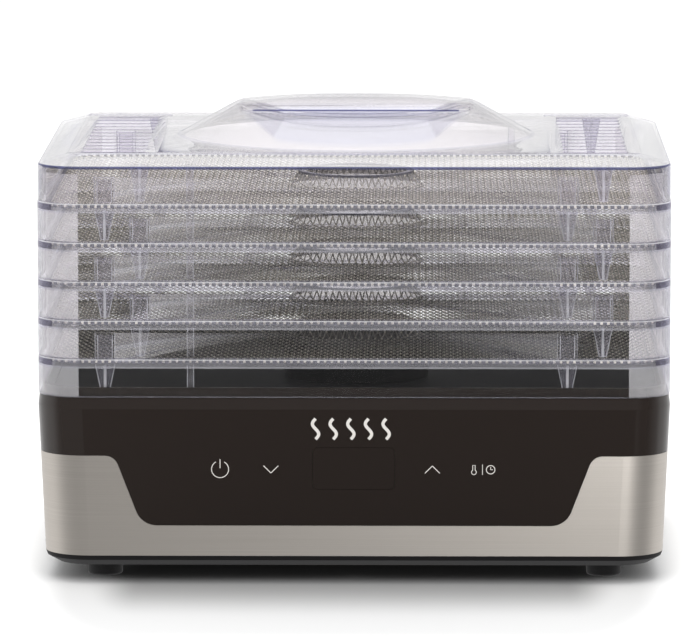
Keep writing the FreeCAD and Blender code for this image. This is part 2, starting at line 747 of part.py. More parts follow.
# ---------------------------------------------------------------- motor and fan
def make_motor():
    can_z, can_top = motor_z + bracket_t, motor_z + motor_h
    can = rod(motor_r, can_top - can_z, z=can_z)
    room = rod(motor_r - motor_can_t, can_top - can_z - 2 * motor_can_t, z=can_z + motor_can_t)
    seats = [rod(bush_r + 0.1, motor_can_t, z=z) for z in (can_z, can_top - motor_can_t)]
    holes = [rod(2.0, motor_can_t, motor_r * 0.62 * math.cos(a), motor_r * 0.62 * math.sin(a),
                 can_top - motor_can_t) for a in (0.0, 1.57, 3.14, 4.71)]
    save("motor_can", without(can, room, *seats, *holes))
    plate = rod(motor_r + 3, bracket_t, z=motor_z)
    ears = [rod(screw_boss_r + 1, bracket_t, x, y, motor_z) for x, y in leg_places()]
    span = 2 * (motor_r + 2 * screw_boss_r)
    arms = [turned(block(span, 9, bracket_t, z=motor_z), a) for a in (45, 135)]
    bores = [rod(screw_r + 0.2, bracket_t, x, y, motor_z) for x, y in leg_places()]
    bores.append(rod(bush_r + 1, bracket_t, z=motor_z))
    save("motor_bracket", without(joined(plate, *ears, *arms), *bores))
    save("shaft_bushes", *[bush(z) for z in bush_floors()])
    make_stator()


def bush_floors():
    first, last = motor_z + bracket_t + motor_can_t / 2, motor_z + motor_h - motor_can_t / 2
    return first - bush_h / 2, last - bush_h / 2


def bush(z):
    """Sintered bush with a shallow groove where the can's plate clips round it."""
    ring = tube(bush_r + 0.6, shaft_r + shaft_gap, bush_h, z=z)
    waist_z = z + bush_h / 2 - motor_can_t / 2 - 0.05
    return without(ring, tube(bush_r + 2, bush_r, motor_can_t + 0.1, z=waist_z))


def make_stator():
    inner, coil_w = rotor_r + air_gap, 11.0
    core_z, core_h = motor_z + 9.0, 15.0
    outer = motor_r - motor_can_t - 0.1
    yoke = tube(outer, outer - 3, core_h, z=core_z)
    teeth, coils = [], []
    for i in range(4):
        tooth = block(outer - 1 - inner, 6, core_h, (outer - 1 + inner) / 2, 0, core_z)
        shoe = tube(inner + 2, inner, core_h, z=core_z)
        shoe = shoe.common(block(inner + 2, 16, core_h, (inner + 2) / 2, 0, core_z))
        teeth += [turned(tooth, i * 90), turned(shoe, i * 90)]
        start = inner + 2.2
        end = math.sqrt((outer - 3) ** 2 - (coil_w / 2) ** 2) - 0.2
        length, middle = end - start, (start + end) / 2
        around = block(length, coil_w, core_h + 4, middle, 0, core_z - 2)
        window = block(length, 6.2, core_h + 0.2, middle, 0, core_z - 0.1)
        coils.append(turned(without(around, window), i * 90))
    save("stator_core", joined(yoke, *teeth))
    save("stator_windings", *coils)


def blade(angle):
    """One pitched blade, thin and straight, from inside the hub's wall to the tip circle."""
    pitch = math.radians(blade_pitch_deg)
    height = (fan_h - 1.0 - blade_t * math.sin(pitch)) / math.cos(pitch)
    start = fan_hub_r - fan_hub_wall / 2
    end = math.sqrt(fan_r ** 2 - (height * math.sin(pitch) / 2 + blade_t) ** 2)
    plate = block(end - start, blade_t, height, (start + end) / 2, 0, -height / 2)
    plate.rotate(Vector(0, 0, 0), Vector(1, 0, 0), blade_pitch_deg)
    plate.translate(Vector(0, 0, fan_z + fan_h / 2))
    return turned(plate, angle)


def make_fan():
    hub = rod(fan_hub_r, fan_h, z=fan_z)
    hub = hub.makeFillet(2.5, [e for e in hub.Edges if e.BoundBox.ZMin > fan_z + fan_h - 0.01])
    blades = [blade(i * 360 / blade_count) for i in range(blade_count)]
    bore = rod(shaft_r + 0.02, fan_h - 3, z=fan_z)
    relief = tube(fan_hub_r - fan_hub_wall, shaft_r + 3, fan_h - 5, z=fan_z)
    save("fan_impeller", joined(without(hub, bore, relief), *blades))
    shaft_z = motor_z - 3
    save("motor_shaft", rod(shaft_r, fan_z + fan_h - 4 - shaft_z, z=shaft_z))
    rotor = tube(rotor_r, shaft_r + 0.02, 17.0, z=motor_z + 8.0)
    save("motor_rotor", rotor)


# ---------------------------------------------------------------- electronics
def make_control_board():
    y = board_y()
    board = block(control_board_w, board_t, control_board_h, 0, y, window_z - control_board_h / 2)
    save("control_board", board)
    front_y = y - board_t / 2 - 0.05
    digits_w, digits_h = window_w - 6, window_h - 6
    digits = block(digits_w, display_t, digits_h, 0, front_y - display_t / 2, window_z - digits_h / 2)
    save("display_module", digits)
    reach = wall_inside_y(window_z - touch_pad_r) + front_y - seam_gap
    springs = [tube(touch_pad_r, touch_pad_r - touch_wire, reach, x, front_y, window_z,
                    Vector(0, -1, 0)) for x in touch_xs]
    save("touch_springs", *springs)


def make_power_board():
    z = power_board_z
    board = block(power_board_w, power_board_d, board_t, power_board_x, 0, z + 0.05)
    save("power_board", board)
    top = z + board_t + 0.1
    save("board_relay", block(16, 20, 15, power_board_x + 14, -24, top))
    save("board_capacitor", rod(8, 24, power_board_x - 14, 26, top))
    coil = block(24, 20, 18, power_board_x - 12, -20, top)
    save("board_transformer", joined(coil, block(12, 26, 14, power_board_x - 12, -20, top + 2)))
    save("terminal_block", without(block(14, 26, 12, power_board_x + 16, 24, top),
                                   *[rod(1.8, 8, power_board_x + 16, 16 + i * 8, top + 6) for i in range(3)]))


def make_gland():
    """Strain-relief gland in the back wall, with the bore that a mains lead goes through."""
    back_y = base_d / 2 - base_lean * (shoulder_z - gland_z) / (shoulder_z - pan_z)
    out, inward = Vector(0, 1, 0), Vector(0, -1, 0)
    stem = rod(gland_r - 0.1, inner_in + 4, gland_x, back_y + 1.2, gland_z, inward)
    collar = rod(gland_r + 2.5, 2.0, gland_x, back_y + 0.4, gland_z, out)
    nut = rod(gland_r + 2.0, 2.5, gland_x, back_y - inner_in - 0.5, gland_z, inward)
    bore = rod(3.5, 40, gland_x, back_y + 20, gland_z, inward)
    save("cord_gland", without(joined(stem, collar, nut), bore))


def lead(points):
    """Insulated lead along straight runs joined by tangent arcs."""
    edges, last = [], points[0]
    for before, corner, after in zip(points, points[1:], points[2:]):
        back, on = (before - corner).normalize(), (after - corner).normalize()
        half = back.getAngle(on) / 2
        run = lead_bend_r / math.tan(half)
        start, end = corner + back * run, corner + on * run
        middle = corner + (back + on).normalize() * (lead_bend_r / math.sin(half) - lead_bend_r)
        edges += [Part.makeLine(last, start), Part.Arc(start, middle, end).toShape()]
        last = end
    edges.append(Part.makeLine(last, points[-1]))
    path = Part.Wire(edges)
    section = Part.Wire(Part.makeCircle(lead_r, points[0], points[1] - points[0]))
    return path.makePipeShell([section], True, False)


def make_leads():
    top = power_board_z + board_t + lead_r + fit_gap
    edge_x = power_board_x + power_board_w / 2
    start_x, rise_x, coil_z = edge_x - 2 * lead_bend_r, edge_x + 2 * lead_bend_r, heater_z + heater_h / 2
    end_x = -math.sqrt(heater_r ** 2 - heater_lead_y ** 2) - 2 * seam_gap
    y = heater_lead_y
    save("heater_lead", lead([Vector(start_x, y, top), Vector(rise_x, y, top),
                              Vector(rise_x, y, coil_z), Vector(end_x, y, coil_z)]))
    y, rise_x, can_z = motor_lead_y, rise_x + 3 * lead_bend_r, motor_z + motor_h / 2
    end_x = -motor_r - 2 * seam_gap
    save("motor_lead", lead([Vector(start_x, y, top), Vector(rise_x, y, top),
                             Vector(rise_x, y, can_z), Vector(end_x, y, can_z)]))


def make_ribbon():
    """Flat cable from the power board to the foot of the control board, and its two headers."""
    x = power_board_x + power_board_w / 2 - header_w / 2 - 1
    low_y, low_z = -power_board_d / 2 + header_d, power_board_z + board_t + 0.1
    high_y, high_z = board_y() + board_t / 2 + 0.05, window_z - control_board_h / 2 + 2
    save("ribbon_headers", block(header_w, header_d, header_h, x, low_y, low_z),
         block(header_w, header_d, header_h, x, high_y + header_d / 2, high_z))
    run_z = low_z + header_h + 0.1
    back_y = high_y + header_d + 0.1
    run = block(ribbon_w, low_y + header_d / 2 - back_y, ribbon_t, x, (low_y + header_d / 2 + back_y) / 2,
                run_z)
    rise = block(ribbon_w, ribbon_t, high_z + header_h - run_z, x, back_y + ribbon_t / 2, run_z)
    save("ribbon_cable", joined(run, rise))


def main():
    os.makedirs(PARTS, exist_ok=True)
    make_trays()
    make_lid()
    make_upper_housing()
    make_steel_wrap()
    make_display_window()
    make_lower_pan()
    make_feet()
    make_fasteners()
    make_air_deck()
    make_outlet_grille()
    make_heater()
    make_thermal_fuse()
    make_fan_shroud()
    make_motor()
    make_fan()
    make_control_board()
    make_power_board()
    make_gland()
    make_leads()
    make_ribbon()


main()
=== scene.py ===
import json
import math

import bmesh
import bpy
from mathutils import Matrix, Vector


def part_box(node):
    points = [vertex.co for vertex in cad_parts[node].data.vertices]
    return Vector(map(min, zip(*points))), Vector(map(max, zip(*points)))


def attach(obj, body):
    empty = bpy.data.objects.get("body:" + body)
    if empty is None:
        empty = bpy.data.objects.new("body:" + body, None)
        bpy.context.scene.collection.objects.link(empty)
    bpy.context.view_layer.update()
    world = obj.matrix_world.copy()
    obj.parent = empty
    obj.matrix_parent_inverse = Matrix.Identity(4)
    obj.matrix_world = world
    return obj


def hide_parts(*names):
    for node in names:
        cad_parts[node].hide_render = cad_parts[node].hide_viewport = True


# Looks of a food dehydrator: a heated fan base, five clear trays with mesh inserts, a clear lid.
# Metres. +X is to the right of someone who faces the control panel, +Y is to the back, +Z is up.

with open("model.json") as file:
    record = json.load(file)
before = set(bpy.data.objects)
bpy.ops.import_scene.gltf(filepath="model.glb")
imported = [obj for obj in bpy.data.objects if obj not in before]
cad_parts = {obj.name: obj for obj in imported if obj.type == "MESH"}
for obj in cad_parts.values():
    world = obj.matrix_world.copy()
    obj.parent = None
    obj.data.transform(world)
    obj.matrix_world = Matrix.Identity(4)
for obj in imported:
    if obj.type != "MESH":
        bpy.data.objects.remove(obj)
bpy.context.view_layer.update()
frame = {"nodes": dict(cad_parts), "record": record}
NODES = frame["nodes"]
MM = 0.001

# ---- sizes: trays ----
TRAY_COUNT = 5
FLANGE_T = 4.4 * MM
SKIRT_WALL = 2.0 * MM
COLLAR_IN = 2.9 * MM
COLLAR_WALL = 1.8 * MM
NESTED_PITCH = 21.0 * MM
SEAT_GAP = 0.2 * MM
FLOOR_T = 2.0 * MM
LEDGE_W = 6.0 * MM
TRAY_CORNER_R = 23.0 * MM
EDGE_R = 0.55 * MM
BAR_SOFT = 0.5 * MM          # rounding of the upright edges of pegs, posts and stays
COLLAR_GAP = 1.0 * MM        # from the top of a collar to the flange above it
DENSE_SHARE = 0.42           # share of a corner's radius, from the side in, that looks dense: a painted shade
HUB_FOOT_R = 38.0 * MM
HUB_MOUTH_R = 30.0 * MM
HUB_H = 9.0 * MM
HUB_WALL = 1.6 * MM
RIB_W = 2.2 * MM
RIB_RING_R = 62.0 * MM
RIB_COUNT = 8
PEG_FAR_IN = 37.0 * MM
PEG_NEAR_IN = 56.0 * MM
PEG_ROOT_W = 11.0 * MM
PEG_TIP_W = 4.4 * MM
PEG_RIB_T = 1.4 * MM
PEG_DEPTH = 5.0 * MM
PEG_FLOAT = 0.8 * MM         # from a nested peg's tip to what is under it
PEG_SINK = 0.3 * MM          # how far a peg's root reaches into the flange
POST_W = 11.0 * MM
POST_DEPTH = 6.0 * MM
POST_WALL = 1.3 * MM
POST_H = 13.6 * MM
STAY_IN = 83.0 * MM
STAY_W = 4.0 * MM
STAY_T = 1.6 * MM
CORNER_STEPS = 14

# ---- sizes: base ----
SHOULDER_Z = 102.0 * MM
PAN_Z = 9.4 * MM
BASE_LEAN = 4.0 * MM
SHOULDER_BEVEL_H = 6.0 * MM

# ---- sizes: mesh inserts ----
MESH_GAP = 0.5 * MM
MESH_CELL_W = 3.6 * MM       # one diamond of the netting, side to side
MESH_CELL_D = 12.0 * MM      # and front to back
STRAND_W = 0.75 * MM
STRAND_T = 0.6 * MM
WEAVE = 0.3 * MM
KNOT_W = 1.15 * MM
KNOT_D = 2.4 * MM
KNOT_H = 0.65 * MM
KNOT_LIFT = 0.15 * MM        # the knots stand a little above the strands' middle
NET_SEAT = 0.6 * MM          # from the ledge to the middle of the netting
NET_WAVE_H = 0.25 * MM       # the netting doesn't lie quite flat: height of its waves
NET_WAVE_X = 19.0 * MM       # and their lengths over two pi, side to side
NET_WAVE_Y = 14.0 * MM       # and front to back
NET_CLEAR = 1.5 * MM         # how far the netting keeps off the hub's slope and mouth
HEM_T = 1.2 * MM
SELVAGE_L = 2.0 * MM         # welded stitches along the netting's cut edge
SELVAGE_H = 2.2 * MM
PALE_STITCH = 0.6            # size of a pale stitch, in painted highlight, beside a dark one in painted shade
DARK_CUT_PAINTED_SHADE = 2                 # place of the cut edge's finish, a painted shade, in the netting's material slots
FUSED_PAINTED_HIGHLIGHT = 1                    # and of the finish of its knots and pale stitches, a painted highlight

# ---- sizes: lid ----
LID_INSET = 0.5 * MM
LID_GAP = 0.6 * MM
BEVEL_W = 17.0 * MM
BEVEL_H = 5.0 * MM
DOME_FOOT_R = 98.0 * MM
DOME_TOP_R = 66.0 * MM
DOME_H = 18.0 * MM
CROWN_H = 4.0 * MM
GRIP_HALF_W = 18.0 * MM
GRIP_EDGE_DROP = 7.3 * MM
GRIP_LINE_HALF = 57.0 * MM     # half the length of the lip under each edge of the grip
SCOOP_FLOOR_HALF = 42.0 * MM
SCOOP_MOUTH_HALF = 64.5 * MM
SCOOP_DEPTH = 13.5 * MM
SCOOP_FALL = 3.5 * MM
SCOOP_LENS_IN = 2.0 * MM       # the lens at the grip ends this far short of the scoop's mouth
SCOOP_LENS_CURVE = 2.2
SCOOP_FLAT_SHARE = 0.55        # share of the scoop's half width that its floor takes up
SCOOP_WALL_CURVE = 1.3
SCOOP_SPREAD = 1.02            # the scoop widens a little to the dome's side
CUT_CLEAR = 8.0 * MM           # how far what is cut away reaches above the lid
KNEE_R = 5.0 * MM              # rounding reach where the dome's cone meets its crown
FOOT_R = 1.2 * MM              # and at the cone's foot
RIM_REACH = 0.65 * MM          # rounding reach of the lid's rim
BEVEL_REACH = 0.7 * MM         # and where the bevel meets the flat top
LID_PEG_SINK = 1.3 * MM        # how far the lid's pegs reach up into its bevel
GRIP_LIP_T = 0.8 * MM
GRIP_LIP_PROUD = 0.1 * MM
VENT_COUNT = 12
VENT_PITCH = 17.0 * MM
VENT_SLOT_W = 6.0 * MM
VENT_SLOT_L = 35.0 * MM
VENT_SIDE_IN = 23.0 * MM
VENT_BORDER = 7.0 * MM
VENT_PANEL_SINK = 0.6 * MM
VENT_SLOT_R = 2.4 * MM
VENT_PANEL_R = 3.0 * MM

# ---- sizes: printed marks ----
MARK_Z = 63.2 * MM             # height of the row of touch symbols
POWER_X, DOWN_X, UP_X, PAIR_X = -72.0 * MM, -44.6 * MM, 42.4 * MM, 69.4 * MM
LINE_W = 0.45 * MM
WAVE_COUNT = 5
WAVE_PITCH = 9.5 * MM
WAVE_SHIFT = -1.5 * MM         # the sign's middle from the base's middle
WAVE_SWING = 1.7 * MM
WAVE_W = 1.7 * MM
WAVE_Z = 79.8 * MM
WAVE_H = 11.2 * MM
INK_LOW, INK_HIGH = 0.02 * MM, 0.06 * MM

# ---- studio ----
WORLD_LEVEL = 1.1              # a little over white, so that clear plastic stays bright
DIM_PATCHES = (                # direction, reach, where its edge starts and ends, level inside
    ((0.21, -0.95, -0.2), (0.27, 1.0, 0.24), (0.95, 1.15), 0.40),
    ((0.0, -0.9, -0.1), (1.5, 1.05, 0.5), (0.75, 1.1), 0.30),
    ((0.9, -0.4, -0.15), (0.6, 0.6, 0.5), (0.6, 1.1), 0.5),
)
SOFT_BOXES = (                 # name, place, aim, size, power in watts, whether gloss mirrors it
    ("top_box", (0.0, 0.0, 1.8), (0.0, 0.0, 0.1), (1.8, 1.4), 18.0, True),
    ("front_box", (0.0, -1.65, 1.5), (0.0, 0.0, 0.15), (1.8, 0.9), 12.0, True),
    ("left_box", (-1.6, -1.0, 0.8), (0.0, 0.0, 0.1), (0.8, 1.4), 4.0, False),
    ("right_box", (1.3, -1.7, 0.8), (0.1, 0.0, 0.1), (0.8, 1.4), 5.0, False),
)
STEEL_BOX = ("steel_box", (0.3, -0.8, 0.16), (0.1, 0.0, 0.06), (0.25, 0.28), 2.3, True)
FLOOR_HALF = 6.0
FLOOR_PAINTED_SHADOW = 0.30             # painted shadow: the floor's colour under the object, where its shadow is darkest
FLOOR_PAINTED_SHADE = 0.60              # painted shade: the floor's colour just in front of it and behind it, so that its shadow shows
FLOOR_UNDER_HALF = (0.115, 0.13, 0.0)   # half the size of the darkest part of the painted shadow
FLOOR_STEEPER = (3.5, 1.0, 0.0)         # the painted shade ends sooner at the sides
FLOOR_PAINTED_SHADOW_REACH = 0.10           # how far from the darkest part the painted shadow reaches
FLOOR_FADE = (0.13, 0.25)      # where the floor's colour turns from the near painted shade to white
CAMERA_AT = (0.036, -3.396, 0.584)
CAMERA_DOWN_DEG = 7.645
CAMERA_LEFT_DEG = 0.666
LENS_MM = 315.6
SENSOR_MM = 36.0
FAR_CLIP = 50.0

# ---- places of the clear finishes in a clear piece's material slots ----
WALL, PAINTED_CORNER_REFLECTION, BAND, PAINTED_LIP, PAINTED_DARK_EDGE, SCOOP, SEAM, PAINTED_DENSE_SHADE, PAINTED_GLINT, BEVEL, HUB, RIB, POST = range(13)


# ---- mesh helpers ----
def new_piece(name, bm, materials, smooth_deg=35.0):
    """Turns a bmesh into an object, smooth except at its sharp edges."""
    bmesh.ops.recalc_face_normals(bm, faces=bm.faces)
    mesh = bpy.data.meshes.new(name)
    bm.to_mesh(mesh)
    bm.free()
    for material in materials:
        mesh.materials.append(material)
    mesh.shade_smooth()
    mesh.set_sharp_from_angle(angle=math.radians(smooth_deg))
    piece = bpy.data.objects.new(name, mesh)
    bpy.context.scene.collection.objects.link(piece)
    return piece


def rounded_loop(half_x, half_y, radius, steps=CORNER_STEPS):
    """Points round a rounded rectangle, anticlockwise from the right front corner's start."""
    points = []
    for quarter, (sx, sy) in enumerate(((1, -1), (1, 1), (-1, 1), (-1, -1))):
        start = (quarter - 1) * math.pi / 2
        cx, cy = sx * (half_x - radius), sy * (half_y - radius)
        for i in range(steps + 1):
            angle = start + i / steps * math.pi / 2
            points.append((cx + radius * math.cos(angle), cy + radius * math.sin(angle)))
    return points


def circle_loop(radius, steps=96):
    """Points round a circle."""
    return [(radius * math.cos(2 * math.pi * i / steps), radius * math.sin(2 * math.pi * i / steps))
            for i in range(steps)]


def filleted(corners, radius, finish=PAINTED_LIP, steps=3):
    """An outline of (across, up, finish of the run that follows, and finish of the corner's own
    rounding where it isn't the common one), each corner rounded."""
    points = []
    count = len(corners)
    for i in range(count):
        corner = Vector(corners[i][:2])
        back = Vector(corners[i - 1][:2]) - corner
        on = Vector(corners[(i + 1) % count][:2]) - corner
        reach = min(radius, back.length * 0.45, on.length * 0.45)
        start, end = corner + back.normalized() * reach, corner + on.normalized() * reach
        rounding = corners[i][3] if len(corners[i]) > 3 else finish
        for k in range(steps + 1):
            t = k / steps
            spot = start.lerp(corner, t).lerp(corner.lerp(end, t), t)
            points.append((spot.x, spot.y, rounding if k < steps else corners[i][2]))
    return points


def skin_loops(bm, loops, finishes, curved=(), deep_x=math.inf):
    """Joins closed rings of points into a closed skin. Runs of WALL take a pale painted reflection
    where curved, and runs of BAND a painted shade beyond deep_x, where the eye meets the most
    plastic."""
    rings = [[bm.verts.new(point) for point in loop] for loop in loops]
    for k, ring in enumerate(rings):
        following = rings[(k + 1) % len(rings)]
        for i in range(len(ring)):
            j = (i + 1) % len(ring)
            face = bm.faces.new((ring[i], ring[j], following[j], following[i]))
            face.material_index = finishes[k]
            if finishes[k] == WALL and i in curved:
                face.material_index = PAINTED_CORNER_REFLECTION
            if finishes[k] == BAND and abs(face.calc_center_median().x) > deep_x:
                face.material_index = PAINTED_DENSE_SHADE


def swept_ring(bm, half_x, half_y, radius, outline):
    """Sweeps a closed outline of (inset, z, finish) round a rounded rectangle."""
    loops = []
    for inset, z, _ in outline:
        ring = rounded_loop(half_x - inset, half_y - inset, max(radius - inset, 0.5 * MM))
        loops.append([(x, y, z) for x, y in ring])
    per_side = CORNER_STEPS + 1
    curved = {i for i in range(4 * per_side) if i % per_side != CORNER_STEPS}
    skin_loops(bm, loops, [point[2] for point in outline], curved, half_x - radius * DENSE_SHARE)


def turned_ring(bm, outline, steps=96):
    """Turns a closed outline of (radius, z, finish) about the upright axis."""
    loops = [[(x, y, z) for x, y in circle_loop(r, steps)] for r, z, _ in outline]
    skin_loops(bm, loops, [point[2] for point in outline])


def add_prism(bm, low, high, finish=WALL):
    """Closed solid between two polygons with as many corners each."""
    low, high = [bm.verts.new(p) for p in low], [bm.verts.new(p) for p in high]
    faces = [bm.faces.new(list(reversed(low))), bm.faces.new(high)]
    for i in range(len(low)):
        j = (i + 1) % len(low)
        faces.append(bm.faces.new((low[i], low[j], high[j], high[i])))
    for face in faces:
        face.material_index = finish
    return faces


def add_box(bm, low, high, turn=0.0, finish=WALL):
    """Block between two corners, turned about the upright axis through the origin."""
    spin = Matrix.Rotation(turn, 3, "Z")
    floor = [(low[0], low[1]), (high[0], low[1]), (high[0], high[1]), (low[0], high[1])]
    add_prism(bm, *[[spin @ Vector((x, y, z)) for x, y in floor] for z in (low[2], high[2])],
              finish=finish)


def add_bar(bm, low, high):
    """Upright bar between two corners; its upright edges are softened and carry a painted
    highlight.
    """
    cx, cy = (low[0] + high[0]) / 2, (low[1] + high[1]) / 2
    ring = rounded_loop((high[0] - low[0]) / 2, (high[1] - low[1]) / 2, BAR_SOFT, 2)
    faces = add_prism(bm, *[[(cx + x, cy + y, z) for x, y in ring] for z in (low[2], high[2])])
    for side in faces[2:]:
        middle = side.calc_center_median()
        flat = min(abs(middle.x - low[0]), abs(middle.x - high[0])) > BAR_SOFT
        side.material_index = POST if flat else PAINTED_GLINT


def boolean(target, cutter, operation):
    """Applies a boolean to the target's mesh and removes the cutter."""
    modifier = target.modifiers.new("join", "BOOLEAN")
    modifier.operation = operation
    modifier.solver = "MANIFOLD"
    modifier.object = cutter
    graph = bpy.context.evaluated_depsgraph_get()
    mesh = bpy.data.meshes.new_from_object(target.evaluated_get(graph))
    target.modifiers.clear()
    target.data = mesh
    bpy.data.objects.remove(cutter)


# ---- material helpers ----
def linear(hex_colour):
    """Linear RGBA of an sRGB hex colour."""
    channels = [int(hex_colour[i:i + 2], 16) / 255 for i in (1, 3, 5)]
    return [c / 12.92 if c <= 0.04045 else ((c + 0.055) / 1.055) ** 2.4 for c in channels] + [1.0]


def add_node(tree, kind, settings=None, links=None):
    """Adds a node, sets its inputs or properties by name, and links its inputs to outputs, or to
    the first outputs of nodes."""
    made = tree.nodes.new(kind)
    for name, value in (settings or {}).items():
        if isinstance(name, str) and hasattr(made, name):
            setattr(made, name, value)
        else:
            made.inputs[name].default_value = value
    for name, source in (links or {}).items():
        tree.links.new(getattr(source, "outputs", [source])[0], made.inputs[name])
    return made


def emptied(owner):
    """The node tree of a material or world, with nothing in it."""
    owner.use_nodes = True
    owner.node_tree.nodes.clear()
    return owner.node_tree


def new_material(name, shader_settings):
    """A material with one Principled shader; returns the material, its tree and the shader."""
    material = bpy.data.materials.new(name)
    tree = emptied(material)
    shader = add_node(tree, "ShaderNodeBsdfPrincipled", shader_settings)
    add_node(tree, "ShaderNodeOutputMaterial", links={"Surface": shader})
    return material, tree, shader


# ---- materials ----
RIM_TINT = "#9c9bb4"           # clear plastic seen edge on
RIM_POWER = 45.0
LEAST_MIRROR = 0.015


def clear_san(name, tint, haze, haze_colour, roughness=0.03, shine=1.0):
    """Moulded clear styrene-acrylonitrile: it mirrors more the flatter it is looked at, tints what
    is behind it a little lavender, and has a faint haze that drifts with the melt's flow."""
    material = bpy.data.materials.new(name)
    tree = emptied(material)
    coords = add_node(tree, "ShaderNodeTexCoord")
    flow = add_node(tree, "ShaderNodeTexNoise", {"Scale": 45.0, "Detail": 2.0},
                    {"Vector": coords.outputs["Object"]})
    ripple = add_node(tree, "ShaderNodeBump", {"Strength": 0.5, "Distance": 0.05 * MM},
                      {"Height": flow})
    cloud = add_node(tree, "ShaderNodeMapRange", {"To Min": haze * 0.75, "To Max": haze * 1.25},
                     {"Value": flow})
    facing = add_node(tree, "ShaderNodeLayerWeight", {"Blend": 0.5})
    fifth = add_node(tree, "ShaderNodeMath", {"operation": "POWER", 1: 5.0},
                     {0: facing.outputs["Facing"]})
    mirror = add_node(tree, "ShaderNodeMath",
                      {"operation": "MULTIPLY_ADD", 1: 0.96 * shine, 2: LEAST_MIRROR},
                      {0: fifth})
    through = add_node(tree, "ShaderNodeBsdfTransparent", {"Color": linear(tint)})
    milk = add_node(tree, "ShaderNodeBsdfPrincipled",
                    {"Base Color": linear(haze_colour), "Roughness": 0.5, "IOR": 1.5})
    gloss = add_node(tree, "ShaderNodeBsdfGlossy", {"Roughness": roughness}, {"Normal": ripple})
    body = add_node(tree, "ShaderNodeMixShader", links={0: cloud, 1: through, 2: milk})
    surface = add_node(tree, "ShaderNodeMixShader", links={0: mirror, 1: body, 2: gloss})
    rim = add_node(tree, "ShaderNodeMath", {"operation": "POWER", 1: RIM_POWER},
                   {0: facing.outputs["Facing"]})
    deep = add_node(tree, "ShaderNodeBsdfTransparent", {"Color": linear(RIM_TINT)})
    whole = add_node(tree, "ShaderNodeMixShader", links={0: rim, 1: surface, 2: deep})
    add_node(tree, "ShaderNodeOutputMaterial", links={"Surface": whole})
    return material


def noisy(name, settings, scale, detail, colours=None, ends=(0.0, 1.0), relief=None,
          stretch=None):
    """A Principled material that one noise goes through: the noise runs its colour from dark to
    pale between two ends, or raises it by a relief of (strength, millimetres), or both."""
    material, tree, shader = new_material(name, settings)
    place = add_node(tree, "ShaderNodeTexCoord").outputs["Object"]
    if stretch:
        place = add_node(tree, "ShaderNodeMapping", {"Scale": stretch}, {"Vector": place})
    noise = add_node(tree, "ShaderNodeTexNoise", {"Scale": scale, "Detail": detail},
                     {"Vector": place})
    if colours:
        ramp = add_node(tree, "ShaderNodeValToRGB", links={"Fac": noise})
        for stop, position, colour in zip(ramp.color_ramp.elements, ends, colours):
            stop.position, stop.color = position, linear(colour)
        tree.links.new(ramp.outputs[0], shader.inputs["Base Color"])
    if relief:
        bump = add_node(tree, "ShaderNodeBump", {"Strength": relief[0], "Distance": relief[1] * MM},
                        {"Height": noise})
        tree.links.new(bump.outputs[0], shader.inputs["Normal"])
    return material


def netting(name, dark, pale, roughness):
    """Extruded polypropylene netting, waxy: its own warm grey, and the pale and dark colours of its
    painted highlight and painted shade.
    """
    return noisy(name, {"Roughness": roughness, "IOR": 1.49}, 500.0, 2.0, (dark, pale),
                 (0.35, 0.65))


def grained(name, dark, pale, grain_mm, roughness, ior=1.5, metallic=0.0, bands=None):
    """A solid colour with a fine grain of darker and paler specks; bands stretch the grain."""
    pitch = 1.0 / (grain_mm * MM)
    return noisy(name, {"Roughness": roughness, "IOR": ior, "Metallic": metallic}, 1.0, 3.0,
                 (dark, pale), (0.3, 0.7), (0.6, 0.01), bands or (pitch, pitch, pitch))


# ---- trays ----
def flange_outline():
    """Cross-section of a tray's rim: skirt, flange, collar and ledge, flange top at z = 0."""
    foot, top = -NESTED_PITCH + SEAT_GAP, NESTED_PITCH - FLANGE_T - COLLAR_GAP
    inner, ledge = COLLAR_IN + COLLAR_WALL, -FLANGE_T + FLOOR_T
    # The rounding of the flange's top outer edge takes a painted highlight.
    corners = [(0, foot, WALL, SEAM), (0, -FLANGE_T, BAND), (0, 0, WALL, PAINTED_GLINT),
               (COLLAR_IN, 0, WALL, WALL), (COLLAR_IN, top, WALL, WALL), (inner, top, WALL, WALL),
               (inner, ledge, WALL, WALL), (inner + LEDGE_W, ledge, WALL, WALL),
               (inner + LEDGE_W, -FLANGE_T, WALL, WALL), (SKIRT_WALL, -FLANGE_T, WALL, WALL),
               (SKIRT_WALL, foot, WALL, SEAM)]
    # The flange's bottom outer edge keeps the common rounding finish, a painted highlight.
    return filleted(corners, EDGE_R)


def peg_places(half_x, peg_y):
    """Where the pegs hang: one pair stands nearer its side, so that a turned tray's pegs miss."""
    return [(x, s * peg_y) for x in (PEG_FAR_IN - half_x, half_x - PEG_NEAR_IN) for s in (-1, 1)]


def add_peg(bm, x, y, root_z, tip_z):
    """Hanging peg's tapered web with softened edges, which carry a painted highlight."""
    half_t, soft = PEG_RIB_T / 2, BAR_SOFT
    outlines = []
    for depth, shrink in ((-half_t, soft), (-half_t + soft, 0), (half_t - soft, 0), (half_t, soft)):
        root, tip = PEG_ROOT_W / 2 - shrink, PEG_TIP_W / 2 - shrink
        foot_z = tip_z + shrink
        outlines.append([(x - root, y + depth, root_z), (x + root, y + depth, root_z),
                         (x + tip, y + depth, foot_z), (x - tip, y + depth, foot_z)])
    rings = [[bm.verts.new(p) for p in outline] for outline in outlines]
    bm.faces.new(list(reversed(rings[0]))).material_index = SEAM
    bm.faces.new(rings[-1]).material_index = SEAM
    for a, b in zip(rings, rings[1:]):
        for i in range(4):
            j = (i + 1) % 4
            bm.faces.new((a[i], a[j], b[j], b[i])).material_index = PAINTED_GLINT


